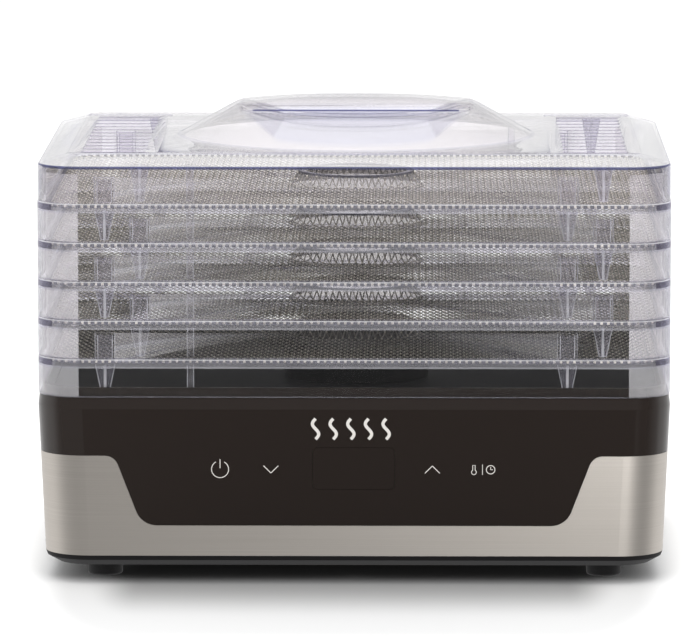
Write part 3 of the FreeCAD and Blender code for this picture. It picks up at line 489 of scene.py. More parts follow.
def add_peg_rib(bm, x, y, root_z, tip_z):
    """The thin rib that crosses a peg's web, all of it in painted highlight."""
    half_t, half_d = PEG_RIB_T / 2, PEG_DEPTH / 2
    add_box(bm, (x - half_t, y - half_d, tip_z), (x + half_t, y + half_d, root_z), finish=PAINTED_GLINT)


def part_mesh(build, *args, **settings):
    """Temporary object made by one of the add functions, for a boolean."""
    bm = bmesh.new()
    build(bm, *args, **settings)
    return new_piece("scrap", bm, CLEAR_FINISHES)


def hang_peg(piece, *place):
    """Joins a peg and its rib to a tray or the lid."""
    for build in (add_peg, add_peg_rib):
        boolean(piece, part_mesh(build, *place), "UNION")


def hang_stays(piece, half_x, peg_y, root_z, tip_z):
    """Joins the two slim stays, at opposite corners, to a tray or the lid."""
    for s in (-1, 1):
        x, y = s * (half_x - STAY_IN), s * peg_y
        boolean(piece, part_mesh(add_bar, (x - STAY_W / 2, y - STAY_T / 2, tip_z),
                                 (x + STAY_W / 2, y + STAY_T / 2, root_z)), "UNION")


def tray_piece(half_x, half_y):
    """One clear tray with its flange's top at z = 0."""
    bm = bmesh.new()
    swept_ring(bm, half_x, half_y, TRAY_CORNER_R, flange_outline())
    tray = new_piece("tray", bm, CLEAR_FINISHES)
    peg_y = half_y - COLLAR_IN - COLLAR_WALL - POST_DEPTH / 2
    root_z, tip_z = -FLANGE_T + PEG_SINK, -NESTED_PITCH + PEG_FLOAT
    for x, y in peg_places(half_x, peg_y):
        hang_peg(tray, x, y, root_z, tip_z)
        reach = Vector((POST_W / 2, POST_DEPTH / 2, 0))
        low, high = Vector((x, y, -FLANGE_T)) - reach, Vector((x, y, POST_H)) + reach
        boolean(tray, part_mesh(add_bar, low, high), "UNION")
        wall = Vector((POST_WALL, POST_WALL, 0))
        low, high = Vector((low.x, low.y, 0)) + wall, high - wall - Vector((0, 0, POST_WALL))
        boolean(tray, part_mesh(add_bar, low, high), "DIFFERENCE")
    hang_stays(tray, half_x, peg_y, root_z, tip_z)
    add_hub(tray, half_x, half_y)
    return tray


def add_hub(tray, half_x, half_y):
    """Adds the central air duct, its ring rib and the spokes out to the ledge."""
    foot, ledge = -FLANGE_T, -FLANGE_T + FLOOR_T
    mouth = foot + HUB_H
    # The cone's mouth and its roundings take the darker painted shade.
    cone = filleted([(HUB_FOOT_R, foot, HUB), (HUB_MOUTH_R, mouth, PAINTED_DENSE_SHADE),
                     (HUB_MOUTH_R - HUB_WALL, mouth, HUB), (HUB_FOOT_R - HUB_WALL, foot, HUB)],
                    0.5 * MM, PAINTED_DENSE_SHADE)
    ring = [(RIB_RING_R + RIB_W / 2, foot, RIB), (RIB_RING_R + RIB_W / 2, ledge, RIB),
            (RIB_RING_R - RIB_W / 2, ledge, RIB), (RIB_RING_R - RIB_W / 2, foot, RIB)]
    inner = COLLAR_IN + COLLAR_WALL + LEDGE_W / 2
    for i in range(RIB_COUNT):
        angle = i * 2 * math.pi / RIB_COUNT
        reach = min((half_x - inner) / max(abs(math.cos(angle)), 1e-6),
                    (half_y - inner) / max(abs(math.sin(angle)), 1e-6))
        low = (HUB_FOOT_R - HUB_WALL / 2, -RIB_W / 2, foot)
        boolean(tray, part_mesh(add_box, low, (reach, RIB_W / 2, ledge), angle, RIB), "UNION")
    boolean(tray, part_mesh(turned_ring, ring), "UNION")
    boolean(tray, part_mesh(turned_ring, cone), "UNION")


# ---- mesh inserts ----
def inside_net(x, y, half_x, half_y, radius, notches):
    """Whether a point lies on the netting: in its rounded outline, off the hub and the notches."""
    dx, dy = abs(x) - (half_x - radius), abs(y) - (half_y - radius)
    if dx > radius or dy > radius or (dx > 0 and dy > 0 and dx * dx + dy * dy > radius * radius):
        return False
    if math.hypot(x, y) < HUB_MOUTH_R + NET_CLEAR:
        return False
    reach_x, reach_y = POST_W / 2 + MESH_GAP, POST_DEPTH / 2 + MESH_GAP
    return not any(abs(x - nx) < reach_x and abs(y - ny) < reach_y for nx, ny in notches)


def add_strand(bm, points, across):
    """A flat strand with four sides along the points, closed at both ends."""
    rings = []
    side = Vector((-across[1], across[0], 0)) * (STRAND_W / 2)
    for point in points:
        up = Vector((0, 0, STRAND_T / 2))
        rings.append([bm.verts.new(point + offset) for offset in (side, up, -side, -up)])
    for a, b in zip(rings, rings[1:]):
        for i in range(4):
            j = (i + 1) % 4
            bm.faces.new((a[i], a[j], b[j], b[i]))
    bm.faces.new(rings[0])
    bm.faces.new(list(reversed(rings[-1])))


def edge_of_net(on, off, *limits):
    """The last spot of the netting on the way from a spot on it to one off it."""
    for _ in range(7):
        middle = (on + off) / 2
        if inside_net(middle.x, middle.y, *limits):
            on = middle
        else:
            off = middle
    return on


def net_piece(half_x, half_y, radius, notches, z):
    """Two families of strands that pass over and under each other at every crossing."""
    bm = bmesh.new()
    limits = (half_x, half_y, radius, notches)
    step = Vector((MESH_CELL_W / 2, MESH_CELL_D / 2))
    reach = int((half_x / step.x + half_y / step.y)) + 2
    for slope in (1, -1):
        along = Vector((step.x, slope * step.y))
        other = Vector((step.x, -slope * step.y))
        for j in range(-reach, reach + 1):
            run = []
            for i in range(-reach, reach + 1):
                spot = along * i + other * j
                if inside_net(spot.x, spot.y, *limits):
                    if not run:
                        start = edge_of_net(spot, spot - along, *limits)
                        run.append(Vector((start.x, start.y, z + net_sag(start.x, start.y))))
                    lift = WEAVE * (1 if (i + j) % 2 else -1) * slope
                    run.append(Vector((spot.x, spot.y, z + lift + net_sag(spot.x, spot.y))))
                elif run:
                    end = edge_of_net(spot - along, spot, *limits)
                    run.append(Vector((end.x, end.y, z + net_sag(end.x, end.y))))
                    add_strand(bm, run, along.normalized())
                    run = []
    add_knots(bm, half_x, half_y, radius, notches, z)
    add_selvage(bm, half_x, half_y, radius, z)
    add_hem(bm, z)
    return new_piece("net", bm, [NET, NET_KNOT_PAINTED_HIGHLIGHT, NET_CUT_PAINTED_SHADE], 60.0)


def add_knots(bm, half_x, half_y, radius, notches, z):
    """A flattened lump of fused plastic at every crossing, pale with painted highlight."""
    step_x, step_y = MESH_CELL_W / 2, MESH_CELL_D / 2
    for i in range(-int(half_x / step_x), int(half_x / step_x) + 1):
        for j in range(-int(half_y / step_y), int(half_y / step_y) + 1):
            x, y = i * step_x, j * step_y
            if (i + j) % 2 or not inside_net(x, y, half_x, half_y, radius, notches):
                continue
            centre = Vector((x, y, z + net_sag(x, y) + KNOT_LIFT))
            ring = [bm.verts.new(centre + Vector((KNOT_W * math.cos(k * math.pi / 3) / 2,
                                                  KNOT_D * math.sin(k * math.pi / 3) / 2, 0)))
                    for k in range(6)]
            crest = bm.verts.new(centre + Vector((0, 0, KNOT_H)))
            keel = bm.verts.new(centre - Vector((0, 0, KNOT_H)))
            for k in range(6):
                on = (k + 1) % 6
                bm.faces.new((ring[k], ring[on], crest)).material_index = FUSED_PAINTED_HIGHLIGHT
                bm.faces.new((ring[on], ring[k], keel)).material_index = FUSED_PAINTED_HIGHLIGHT


def add_hem(bm, z):
    """The welded ring round the netting's hole, dark with painted shade."""
    middle, half = HUB_MOUTH_R + NET_CLEAR, HEM_T / 2
    z += net_sag(middle, 0)
    turned_ring(bm, [(middle + across * half, z + up * half, DARK_CUT_PAINTED_SHADE)
                     for across, up in ((1, -1), (1, 1), (-1, 1), (-1, -1))])


def net_sag(x, y):
    """How far the netting lies above its level: its waves, and its rise on the hub's slope."""
    slope = HUB_H / (HUB_FOOT_R - HUB_MOUTH_R)
    rise = max(0.0, HUB_FOOT_R - NET_CLEAR - math.hypot(x, y)) * slope
    return rise + NET_WAVE_H * math.sin(x / NET_WAVE_X) * math.cos(y / NET_WAVE_Y)


def add_selvage(bm, half_x, half_y, radius, z):
    """The netting's cut edge: short welded stitches along its outline, by turns in painted shade
    and painted highlight.
    """
    ring = rounded_loop(half_x - SELVAGE_H / 2, half_y - SELVAGE_H / 2, radius, 6)
    for start, end in zip(ring, ring[1:] + ring[:1]):
        start, end = Vector((*start, z)), Vector((*end, z))
        count = int((end - start).length / MESH_CELL_W)
        along = (end - start).normalized()
        out = Vector((-along.y, along.x, 0)) * (SELVAGE_H / 2)
        for k in range(2 * count):
            share, finish = (1.0, DARK_CUT_PAINTED_SHADE) if k % 2 else (PALE_STITCH, FUSED_PAINTED_HIGHLIGHT)
            middle = start.lerp(end, (k + 0.5) / (2 * count))
            half = along * (SELVAGE_L / 2 * share)
            up = Vector((0, 0, SELVAGE_H / 2 * share))
            floor = [middle - half - out - up, middle + half - out - up,
                     middle + half + out - up, middle - half + out - up]
            add_prism(bm, floor, [p + up * 2 for p in floor], finish)


def make_stack():
    """The five trays and their nets; each other tray is turned half round, as they nest."""
    low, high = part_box("tray_1")
    half_x, half_y = (high.x - low.x) / 2, (high.y - low.y) / 2
    tray = tray_piece(half_x, half_y)
    inset = COLLAR_IN + COLLAR_WALL + MESH_GAP
    peg_y = half_y - COLLAR_IN - COLLAR_WALL - POST_DEPTH / 2
    notches = peg_places(half_x, peg_y)
    net_z = -FLANGE_T + FLOOR_T + NET_SEAT
    net = net_piece(half_x - inset, half_y - inset, TRAY_CORNER_R - inset, notches, net_z)
    for number in range(1, TRAY_COUNT + 1):
        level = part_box(f"tray_{number}")[0].z + NESTED_PITCH - SEAT_GAP
        turn = 0.0 if number % 2 else math.pi
        for source, node, look in ((tray, "tray", "clear"), (net, "mesh_insert", "net")):
            piece = bpy.data.objects.new(f"{node}_{number}_{look}", source.data)
            bpy.context.scene.collection.objects.link(piece)
            piece.matrix_world = Matrix.Translation((0, 0, level)) @ Matrix.Rotation(turn, 4, "Z")
            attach(piece, f"tray_unit_{number}")
            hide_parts(f"{node}_{number}")
    bpy.data.objects.remove(tray)
    bpy.data.objects.remove(net)


# ---- lid ----
def lump(bm, loops, finishes):
    """Closed solid skinned over a stack of loops, capped below and above."""
    rings = [[bm.verts.new(point) for point in loop] for loop in loops]
    bm.faces.new(list(reversed(rings[0])))
    bm.faces.new(rings[-1])
    for ring, following, finish in zip(rings, rings[1:], finishes):
        for i in range(len(ring)):
            j = (i + 1) % len(ring)
            bm.faces.new((ring[i], ring[j], following[j], following[i])).material_index = finish


def bent(back, corner, on, reach, steps=4):
    """Points that round a corner between two neighbours of an outline."""
    back, corner, on = Vector(back), Vector(corner), Vector(on)
    start = corner + (back - corner).normalized() * reach
    end = corner + (on - corner).normalized() * reach
    return [tuple(start.lerp(corner, k / steps).lerp(corner.lerp(end, k / steps), k / steps))
            for k in range(steps + 1)]


def add_lid_skirt(bm, half_x, half_y, foot_z, edge_z, flat_z, skin):
    """Skirt, bevel and flat top as one lump, every surface moved in by skin."""
    low, edge, flat = (skin, foot_z), (skin, edge_z - skin / 2), (BEVEL_W, flat_z - skin)
    centre = (BEVEL_W + 2 * MM, flat_z - skin)
    outline = [low] + bent(low, edge, flat, RIM_REACH) + bent(edge, flat, centre, BEVEL_REACH)
    finishes = [WALL] + [PAINTED_DARK_EDGE] * 4 + [BEVEL] + [SEAM] * 4
    loops = []
    for inset, z in outline:
        radius = max(TRAY_CORNER_R - LID_INSET - inset, 3.0 * MM)
        ring = rounded_loop(half_x - inset, half_y - inset, radius)
        loops.append([(x, y, z) for x, y in ring])
    lump(bm, loops, finishes)
    # The rim's painted dark reflection stays only along the front; at the sides and behind, the rim
    # gets the seam finish.
    for face in bm.faces:
        behind = face.calc_center_median().y > half_y / 2
        if face.material_index == PAINTED_DARK_EDGE and (abs(face.normal.x) > 0.3 or behind):
            face.material_index = SEAM


def add_dome(bm, flat_z, skin):
    """Cone with a crowned top, softly rounded where they meet and creased at its foot."""
    foot_z, top_z = flat_z - skin, flat_z - skin + DOME_H
    foot_r, top_r = DOME_FOOT_R - skin / 2, DOME_TOP_R - skin / 2
    crown_r = (top_r ** 2 + CROWN_H ** 2) / (2 * CROWN_H)
    crown_steps = 8
    radii = [top_r * k / crown_steps for k in range(crown_steps - 1, 0, -1)]
    crown = [(r, top_z + CROWN_H - crown_r + math.sqrt(crown_r ** 2 - r ** 2)) for r in radii]
    foot, knee = (foot_r, foot_z), (top_r, top_z)
    outline = [(foot_r + 1.5 * MM, foot_z - BEVEL_H), (foot_r + 1.5 * MM, foot_z)]
    outline += bent((foot_r + 9 * MM, foot_z), foot, knee, FOOT_R)[1:]
    outline += bent(foot, knee, crown[0], KNEE_R) + crown
    finishes = [WALL, SEAM] + [SEAM] * 3 + [WALL] * 20
    loops = [[(x, y, z) for x, y in circle_loop(r, 128)] for r, z in outline]
    lump(bm, loops, finishes)


def scoop_section(share, wide, deep):
    """Trapezoid with curved walls from lip to lip: (x, -depth) at a share from -1 to 1. wide has
    the half widths of its floor and of its mouth."""
    floor_share = min(abs(share) / SCOOP_FLAT_SHARE, 1.0)
    run = max(0.0, (abs(share) - SCOOP_FLAT_SHARE) / (1 - SCOOP_FLAT_SHARE))
    x = math.copysign(floor_share * wide[0] + run * (wide[1] - wide[0]), share)
    return x, -deep * (1 - run ** SCOOP_WALL_CURVE)


def add_scoop(bm, side, crown_z, skin):
    """Finger scoop: a shallow lens at the grip that opens into a trapezoid at the dome's side."""
    count = 48
    edge_z = crown_z - GRIP_EDGE_DROP
    inner, outer = [], []
    for k in range(count + 1):
        share = 2 * k / count - 1
        lens_x = share * (SCOOP_MOUTH_HALF - SCOOP_LENS_IN)
        lens_z = edge_z - (SCOOP_DEPTH - GRIP_EDGE_DROP) * (1 - abs(share) ** SCOOP_LENS_CURVE)
        inner.append((lens_x, side * (GRIP_HALF_W - skin), lens_z - skin))
        x, drop = scoop_section(share, (SCOOP_FLOOR_HALF, SCOOP_MOUTH_HALF),
                                SCOOP_DEPTH + SCOOP_FALL)
        outer.append((x * SCOOP_SPREAD, side * DOME_FOOT_R,
                      crown_z - CROWN_H + drop - skin + 2 * MM))
    high = crown_z + CUT_CLEAR
    for ring in (inner, outer):
        ring.append((ring[-1][0] + 2 * MM, ring[-1][1], high))
        ring.append((ring[0][0] - 2 * MM, ring[0][1], high))
    add_prism(bm, inner, outer, SCOOP)


def add_grip_shoulders(bm, crown_z, skin):
    """What is taken off above the grip bar to round it from edge to edge."""
    half_w, drop = GRIP_HALF_W - skin, GRIP_EDGE_DROP
    curve = [(t * half_w / 8, crown_z - skin - drop * (t / 8) ** 2) for t in range(-8, 9)]
    high = crown_z + CUT_CLEAR
    outline = [(half_w, high), (-half_w, high)] + curve
    add_prism(bm, *[[(x, y, z) for y, z in outline]
                    for x in (-SCOOP_MOUTH_HALF, SCOOP_MOUTH_HALF)])


def lid_form(half_x, half_y, foot_z, crown_z, skin):
    """The lid as a solid lump with every surface moved in by skin."""
    flat_z = crown_z - DOME_H - CROWN_H
    form = part_mesh(add_lid_skirt, half_x, half_y, foot_z, flat_z - BEVEL_H, flat_z, skin)
    boolean(form, part_mesh(add_dome, flat_z, skin), "UNION")
    for side in (-1, 1):
        boolean(form, part_mesh(add_scoop, side, crown_z, skin), "DIFFERENCE")
    boolean(form, part_mesh(add_grip_shoulders, crown_z, skin), "DIFFERENCE")
    return form


def add_vents(bm, vent_x, flat_z, wall):
    """The slots at both ends of the lid."""
    slot_half, width_half = VENT_SLOT_L / 2, VENT_SLOT_W / 2
    for side in (-1, 1):
        for i in range(VENT_COUNT):
            y = (i - (VENT_COUNT - 1) / 2) * VENT_PITCH
            ring = [(side * vent_x + a, y + b)
                    for a, b in rounded_loop(slot_half, width_half, VENT_SLOT_R, 4)]
            levels = (flat_z - 2 * wall, flat_z + wall)
            add_prism(bm, *[[(a, b, z) for a, b in ring] for z in levels], finish=SEAM)


def add_vent_panels(bm, vent_x, flat_z):
    """The shallow panel that the slots of each end stand in."""
    half_l = VENT_SLOT_L / 2 + VENT_BORDER
    half_d = ((VENT_COUNT - 1) * VENT_PITCH + VENT_SLOT_W) / 2 + VENT_BORDER
    for side in (-1, 1):
        ring = [(side * vent_x + a, b) for a, b in rounded_loop(half_l, half_d, VENT_PANEL_R, 6)]
        levels = (flat_z - VENT_PANEL_SINK, flat_z + 1 * MM)
        faces = add_prism(bm, *[[(a, b, z) for a, b in ring] for z in levels], finish=SEAM)
        faces[0].material_index = WALL


def make_lid():
    """The lid: a form less the same form moved in, with pegs, stays, vents and the grip's lips."""
    low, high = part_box("lid")
    tray_low, tray_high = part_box("tray_1")
    half_x, half_y = (high.x - low.x) / 2, (high.y - low.y) / 2
    tray_half_x, tray_half_y = (tray_high.x - tray_low.x) / 2, (tray_high.y - tray_low.y) / 2
    wall = COLLAR_IN - LID_INSET - LID_GAP
    flat_z = high.z - DOME_H - CROWN_H
    lid = lid_form(half_x, half_y, low.z, high.z, 0.0)
    inside = lid_form(half_x, half_y, low.z - 1 * MM, high.z, wall)
    boolean(lid, inside, "DIFFERENCE")
    peg_y = tray_half_y - COLLAR_IN - COLLAR_WALL - POST_DEPTH / 2
    root_z, tip_z = flat_z - BEVEL_H + LID_PEG_SINK, low.z - SEAT_GAP + PEG_FLOAT
    for x, y in peg_places(tray_half_x, peg_y):
        hang_peg(lid, -x, y, root_z, tip_z)
    hang_stays(lid, tray_half_x, peg_y, root_z, tip_z)
    vent_x = tray_half_x - VENT_SIDE_IN - VENT_SLOT_L / 2
    boolean(lid, part_mesh(add_vent_panels, vent_x, flat_z), "DIFFERENCE")
    boolean(lid, part_mesh(add_vents, vent_x, flat_z, wall), "DIFFERENCE")
    grip_z = high.z - GRIP_EDGE_DROP
    # The front lip carries the grip edge's painted dark reflection; the back lip gets the seam
    # finish.
    for s in (-1, 1):
        near, far = sorted((s * (GRIP_HALF_W - GRIP_LIP_T), s * (GRIP_HALF_W + GRIP_LIP_PROUD)))
        boolean(lid, part_mesh(add_box, (-GRIP_LINE_HALF, near, grip_z - GRIP_LIP_T),
                               (GRIP_LINE_HALF, far, grip_z + GRIP_LIP_PROUD),
                               finish=PAINTED_DARK_EDGE if s < 0 else SEAM), "UNION")
    # The scoops' side walls take the greyer seam finish: painted shade on the walls that face the
    # sides.
    for face in lid.data.polygons:
        if face.material_index == SCOOP and abs(face.normal.x) > 0.25:
            face.material_index = SEAM
    lid.data.materials[WALL] = LID_WALL
    lid.name = "lid_clear"
    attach(lid, "lid_unit")
    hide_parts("lid")


# ---- printed marks ----
def front_face(x, z, proud):
    """The point on the base's leaning front at x and height z, standing proud of it."""
    front_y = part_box("upper_housing")[0].y
    share = (SHOULDER_Z - SHOULDER_BEVEL_H - z) / (SHOULDER_Z - PAN_Z)
    return Vector((x, front_y + BASE_LEAN * share - proud, z))


def add_stroke(bm, points, width):
    """A flat printed line of even width through (x, z) points, with squared ends."""
    count = len(points)
    sides = []
    for i, point in enumerate(points):
        back, on = Vector(points[max(i - 1, 0)]), Vector(points[min(i + 1, count - 1)])
        along = (on - back).normalized()
        side = Vector((-along.y, along.x)) * (width / 2)
        sides.append((Vector(point) + side, Vector(point) - side))
    layers = []
    for proud in (INK_LOW, INK_HIGH):
        layers.append([[bm.verts.new(front_face(p.x, p.y, proud)) for p in pair] for pair in sides])
    under, over = layers
    for i in range(count - 1):
        bm.faces.new((over[i][0], over[i][1], over[i + 1][1], over[i + 1][0]))
        bm.faces.new((under[i][0], under[i + 1][0], under[i + 1][1], under[i][1]))
        for k in (0, 1):
            bm.faces.new((under[i][k], over[i][k], over[i + 1][k], under[i + 1][k]))
    for i in (0, count - 1):
        bm.faces.new((under[i][0], under[i][1], over[i][1], over[i][0]))


def arc_points(cx, cz, radius, start_deg, end_deg, steps=32):
    """(x, z) points along an arc."""
    angles = [math.radians(start_deg + (end_deg - start_deg) * k / steps) for k in range(steps + 1)]
    return [(cx + radius * math.cos(a), cz + radius * math.sin(a)) for a in angles]


def make_mark(name, strokes):
    """One printed symbol from (points, width) strokes."""
    bm = bmesh.new()
    for points, width in strokes:
        add_stroke(bm, points, width)
    mark = new_piece(name, bm, [INK])
    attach(mark, "base")


def make_marks():
    """Touch symbols, and a plain warm-air sign above the display."""
    z = MARK_Z
    make_mark("mark_power", [(arc_points(POWER_X, z, 4.6 * MM, 120, 420), LINE_W),
                             ([(POWER_X, z + 0.6 * MM), (POWER_X, z + 5.6 * MM)], LINE_W)])
    for name, x, turn in (("mark_down", DOWN_X, -1), ("mark_up", UP_X, 1)):
        tip, foot = z + turn * 2.0 * MM, z - turn * 2.0 * MM
        wing = 4.0 * MM
        make_mark(name, [([(x - wing, foot), (x, tip)], LINE_W),
                         ([(x, tip), (x + wing, foot)], LINE_W)])
    stem_x, clock_x = PAIR_X - 4.6 * MM, PAIR_X + 4.4 * MM
    bulb = arc_points(stem_x, z - 1.4 * MM, 1.3 * MM, 120, 420, 16)
    stem = [bulb[0], (bulb[0][0], z + 2.4 * MM), (bulb[-1][0], z + 2.4 * MM), bulb[-1]]
    make_mark("mark_heat_time", [
        (bulb, 0.4 * MM), (stem, 0.4 * MM),
        ([(PAIR_X, z - 2.8 * MM), (PAIR_X, z + 2.8 * MM)], 0.35 * MM),
        (arc_points(clock_x, z, 2.3 * MM, 0, 360), 0.45 * MM),
        ([(clock_x, z + 1.5 * MM), (clock_x, z), (clock_x + 1.2 * MM, z)], 0.4 * MM)])
    waves = []
    shares = [t / 24 for t in range(25)]
    for k in range(WAVE_COUNT):
        x = (k - (WAVE_COUNT - 1) // 2) * WAVE_PITCH + WAVE_SHIFT
        run = [(x + WAVE_SWING * math.sin(share * 2 * math.pi), WAVE_Z + share * WAVE_H)
               for share in shares]
        waves.append((run, WAVE_W))
    make_mark("mark_warm_air", waves)


# ---- finishes of the other parts ----
def finish_nodes():
    """Gives every part that shows as modelled the finish of its material slot."""
    finishes = {
        "gloss_black": GLOSS_BLACK, "smoked_window": GLOSS_BLACK, "brushed_steel": STEEL,
        "black_plastic": TEXTURED_BLACK,
        "rubber": grained("rubber", "#161516", "#222122", 0.6, 0.75, 1.52),
        "zinc_steel": grained("zinc_plate", "#a7a9a6", "#c9cbc7", 1.5, 0.32, metallic=1.0),
        "heater_steel": grained("aluminised_steel", "#8e8c88", "#a9a7a2", 1.2, 0.42, metallic=1.0),
        "mica": grained("phlogopite_mica", "#a8916a", "#cdb88f", 2.5, 0.4, 1.58),
        "resistance_wire": grained("nichrome", "#6b625a", "#8d8479", 0.8, 0.4, metallic=1.0),
        "motor_steel": grained("galvanised_steel", "#9b9d9f", "#bcbec0", 4.0, 0.35, metallic=1.0),
        "bronze": grained("sintered_bronze", "#80623b", "#a98657", 0.4, 0.5, metallic=1.0),
        "core_laminations": grained("core_laminations", "#4f5052", "#85868a", 0.5, 0.45,
                                    metallic=1.0, bands=(60.0, 60.0, 2000.0)),
        "enamelled_copper": grained("enamelled_copper", "#7c3f1e", "#b86d3c", 0.5, 0.3,
                                    metallic=1.0, bands=(200.0, 200.0, 2500.0)),
        "fan_plastic": grained("glass_filled_nylon", "#1d1c1d", "#2b2a2b", 0.7, 0.5, 1.53),
        "shaft_steel": grained("ground_steel", "#b6b8b9", "#d3d5d6", 0.3, 0.18, metallic=1.0,
                               bands=(90.0, 90.0, 3000.0)),
        "circuit_board": grained("glass_epoxy_board", "#1c5232", "#2d7346", 1.8, 0.35, 1.55),
        "display_plastic": grained("white_abs", "#dad8d1", "#eae8e2", 0.8, 0.45),
        "spring_steel": grained("spring_steel", "#8f8d86", "#b3b1a9", 0.4, 0.25, metallic=1.0),
        "component_black": grained("moulded_epoxy", "#19191a", "#2b2b2d", 0.5, 0.5, 1.55),
        "component_blue": grained("capacitor_sleeve", "#1d4586", "#2f62ab", 0.9, 0.35),
        "terminal_plastic": grained("terminal_nylon", "#d4d7d2", "#e6e8e4", 0.7, 0.45, 1.53),
        "lead_sleeve": grained("silicone_sleeve", "#d0ccc2", "#e6e3da", 0.6, 0.55, 1.41),
        "ribbon_plastic": grained("ribbon_pvc", "#8e9092", "#c4c6c8", 1.27, 0.45, 1.53,
                                  bands=(790.0, 60.0, 60.0)),
    }
    slots = {row["node"]: row["material_slot"] for row in frame["record"]["subparts"]}
    for name, node in NODES.items():
        if name.startswith(("tray_", "mesh_insert_")) or name == "lid":
            continue
        node.data.materials.clear()
        matte = name in ("air_deck", "outlet_grille")
        node.data.materials.append(MATTE_BLACK if matte else finishes[slots[name]])


# ---- stage, lights and camera ----
def make_stage():
    """White floor with painted shadow: its colour is darker under the object and in front of it."""
    bm = bmesh.new()
    corners = ((-1, -1), (1, -1), (1, 1), (-1, 1))
    bm.faces.new([bm.verts.new((x * FLOOR_HALF, y * FLOOR_HALF, 0)) for x, y in corners])
    material, tree, shader = new_material("studio_floor", {
        "Roughness": 0.6, "Specular IOR Level": 0.0})
    spot = add_node(tree, "ShaderNodeTexCoord").outputs["Object"]
    for operation, by in (("ABSOLUTE", None), ("SUBTRACT", FLOOR_UNDER_HALF),
                          ("MAXIMUM", (0.0, 0.0, 0.0)), ("MULTIPLY", FLOOR_STEEPER)):
        settings = {"operation": operation}
        if by:
            settings[1] = by
        spot = add_node(tree, "ShaderNodeVectorMath", settings, {0: spot})
    far = add_node(tree, "ShaderNodeVectorMath", {"operation": "LENGTH"}, {0: spot})
    # Painted shadow and shade: the floor's colour is darkest under the object and turns white
    # further off.
    painted_shadow, fade = [add_node(tree, "ShaderNodeMapRange", {
        "interpolation_type": "SMOOTHSTEP", "From Min": near, "From Max": away,
        "To Min": low, "To Max": high}, {"Value": far.outputs["Value"]})
        for near, away, low, high in ((0.0, FLOOR_PAINTED_SHADOW_REACH, FLOOR_PAINTED_SHADOW, FLOOR_PAINTED_SHADE),
                                      (*FLOOR_FADE, 0.0, 1.0 - FLOOR_PAINTED_SHADE))]
    shade = add_node(tree, "ShaderNodeMath", {"operation": "ADD"}, {0: painted_shadow, 1: fade})
    tree.links.new(shade.outputs[0], shader.inputs["Base Color"])
    floor = new_piece("studio_floor", bm, [material])
    floor.visible_glossy = False


def make_world():
    """White all round, with dim patches in front and at the right, which smooth fronts mirror."""
    world = bpy.data.worlds.new("studio")
    bpy.context.scene.world = world
    tree = emptied(world)
    coords = add_node(tree, "ShaderNodeTexCoord")
    level = None
    for centre, reach, edge, floor in DIM_PATCHES:
        apart = add_node(tree, "ShaderNodeVectorMath", {"operation": "SUBTRACT", 1: centre},
                         {0: coords.outputs["Generated"]})
        spread = add_node(tree, "ShaderNodeVectorMath", {"operation": "DIVIDE", 1: reach},
                          {0: apart})
        far = add_node(tree, "ShaderNodeVectorMath", {"operation": "LENGTH"}, {0: spread})
        patch = add_node(tree, "ShaderNodeMapRange", {
            "interpolation_type": "SMOOTHSTEP", "From Min": edge[0], "From Max": edge[1],
            "To Min": floor, "To Max": 1.0}, {"Value": far.outputs["Value"]})
        # The first patch dims WORLD_LEVEL, and each further one what the patches before it leave.
        links = {1: patch, 0: level} if level else {1: patch}
        level = add_node(tree, "ShaderNodeMath", {"operation": "MULTIPLY", 0: WORLD_LEVEL}, links)
    back = add_node(tree, "ShaderNodeBackground", {"Color": linear("#ffffff")}, {"Strength": level})
    add_node(tree, "ShaderNodeOutputWorld", links={"Surface": back})


def add_area(name, place_at, aim, size, power, in_gloss):
    """A rectangular soft box that looks from its place to its aim."""
    light = bpy.data.lights.new(name, "AREA")
    light.shape = "RECTANGLE"
    light.size, light.size_y = size
    light.energy = power
    lamp = bpy.data.objects.new(name, light)
    bpy.context.scene.collection.objects.link(lamp)
    lamp.location = place_at
    lamp.rotation_euler = (Vector(aim) - Vector(place_at)).to_track_quat("-Z", "Y").to_euler()
    lamp.visible_glossy = in_gloss
    return lamp


def make_lights():
    """Soft boxes round the object, and one that lights only the steel band."""
    for box in SOFT_BOXES:
        add_area(*box)
    steel_only = bpy.data.collections.new("lit_by_steel_box")
    steel_only.objects.link(NODES["steel_wrap"])
    add_area(*STEEL_BOX).light_linking.receiver_collection = steel_only


def make_camera():
    """Long lens a little above the object, a little to the right of its middle."""
    camera_data = bpy.data.cameras.new("camera")
    camera_data.sensor_width = SENSOR_MM
    camera_data.lens = LENS_MM
    camera_data.clip_end = FAR_CLIP
    camera = bpy.data.objects.new("camera", camera_data)
    bpy.context.scene.collection.objects.link(camera)
    camera.location = CAMERA_AT
    camera.rotation_euler = (math.radians(90 - CAMERA_DOWN_DEG), 0.0,
                             math.radians(CAMERA_LEFT_DEG))
    bpy.context.scene.camera = camera


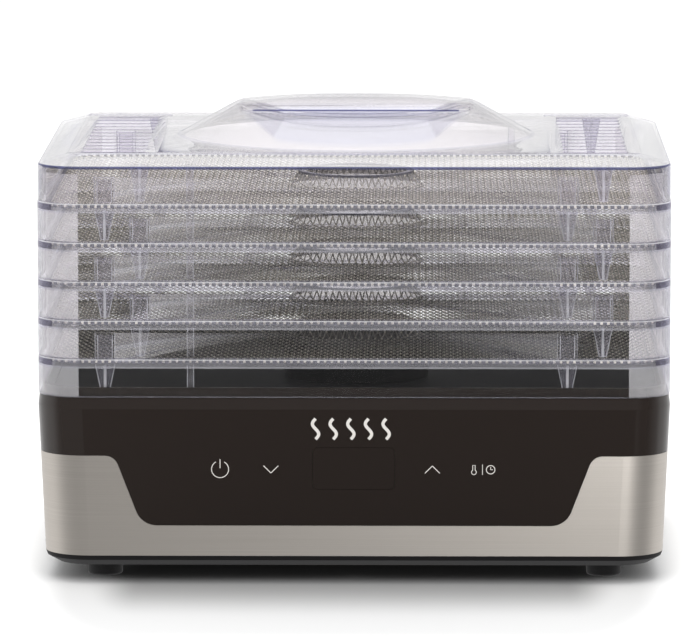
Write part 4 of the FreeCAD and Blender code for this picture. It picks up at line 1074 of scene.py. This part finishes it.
# In the order of WALL and the other places above.
CLEAR_FINISHES = [
    clear_san("clear_wall", "#fdfdfd", 0.004, "#f4f3f5"),
    # painted reflection: a pale haze on curved walls, for the light they mirror
    clear_san("clear_corner_painted_reflection", "#f9f8f9", 0.14, "#fbfafd"),
    clear_san("clear_band", "#ecebf2", 0.13, "#e9e8f1"),
    # painted highlight: a pale line along rounded edges
    clear_san("clear_painted_lip", "#e6e5ee", 0.20, "#f1f0f7"),
    # painted dark reflection: the dark blue line along the lid's front edges
    clear_san("clear_painted_dark_edge", "#7d80aa", 0.12, "#767aa2"),
    clear_san("clear_scoop", "#f5f5fa", 0.03, "#eeedf4"),
    clear_san("clear_seam", "#ebeaf0", 0.08, "#d6d5df"),
    # painted shade: darker where the eye meets the most plastic
    clear_san("clear_dense_painted_shade", "#a3a0b2", 0.25, "#7d7a8e"),
    # painted highlight: a pale haze on rounded edges, pegs and ribs
    clear_san("clear_painted_glint", "#efeef6", 0.34, "#fbfbfe"),
    clear_san("clear_bevel", "#fafafb", 0.22, "#f2f1f2"),
    clear_san("clear_hub", "#e4e2e2", 0.20, "#a39e98", 0.1, 0.3),
    clear_san("clear_rib", "#e6e5e8", 0.01, "#dddce0", 0.1, 0.0),
    clear_san("clear_post", "#f6f5f8", 0.05, "#e0dfe6", 0.05, 0.5),
]
LID_WALL = clear_san("clear_lid_wall", "#fbfafb", 0.02, "#eeedee")
NET = netting("net_strand", "#5f5a52", "#878177", 0.45)
# painted highlight: pale crests where the strands cross
NET_KNOT_PAINTED_HIGHLIGHT = netting("net_knot_painted_highlight", "#b9b19f", "#efe8d8", 0.35)
# painted shade: dark stitches along the cut edge and the ring round the hole
NET_CUT_PAINTED_SHADE = netting("net_cut_edge_painted_shade", "#2b2935", "#474453", 0.5)
# Gloss black ABS from a polished mould: deep brown-black, with a faint orange peel.
GLOSS_BLACK = noisy("gloss_abs", {"Base Color": linear("#221c19"), "Roughness": 0.09, "IOR": 1.45},
                    220.0, 1.0, relief=(0.6, 0.004))
# Stainless sheet brushed along its length: streaks a fraction of a millimetre apart.
STEEL = noisy("brushed_stainless", {"Metallic": 1.0, "Roughness": 0.42}, 1.0, 4.0,
              ("#b9b3ac", "#c5bfb8"), (0.3, 0.7), (0.2, 0.002), (9.0, 9.0, 7500.0))
# Spark-textured black ABS.
TEXTURED_BLACK = noisy("textured_abs", {"Base Color": linear("#151415"), "Roughness": 0.55,
                                        "IOR": 1.5, "Specular IOR Level": 0.12},
                       2500.0, 2.0, relief=(1.0, 0.02))
# Heat-stable black polypropylene with a matte moulded grain.
MATTE_BLACK = noisy("matte_polypropylene", {"Roughness": 0.7, "IOR": 1.49,
                                            "Specular IOR Level": 0.2},
                    1800.0, 2.0, ("#080808", "#111112"))
# Pale grey screen-printed ink, a little uneven where the mesh of the screen laid it down.
INK = noisy("screen_ink", {"Roughness": 0.5, "IOR": 1.5}, 3000.0, 1.0, ("#c4c0bb", "#dcd8d3"))

bpy.context.scene.view_settings.view_transform = "Standard"
# Light goes through many clear walls and nets before it ends.
cycles = bpy.context.scene.cycles
cycles.max_bounces = 16
cycles.transparent_max_bounces = 96
cycles.glossy_bounces = 8
cycles.sample_clamp_indirect = 1.0
make_camera()
make_world()
make_lights()
make_stage()
make_stack()
make_lid()
make_marks()
finish_nodes()
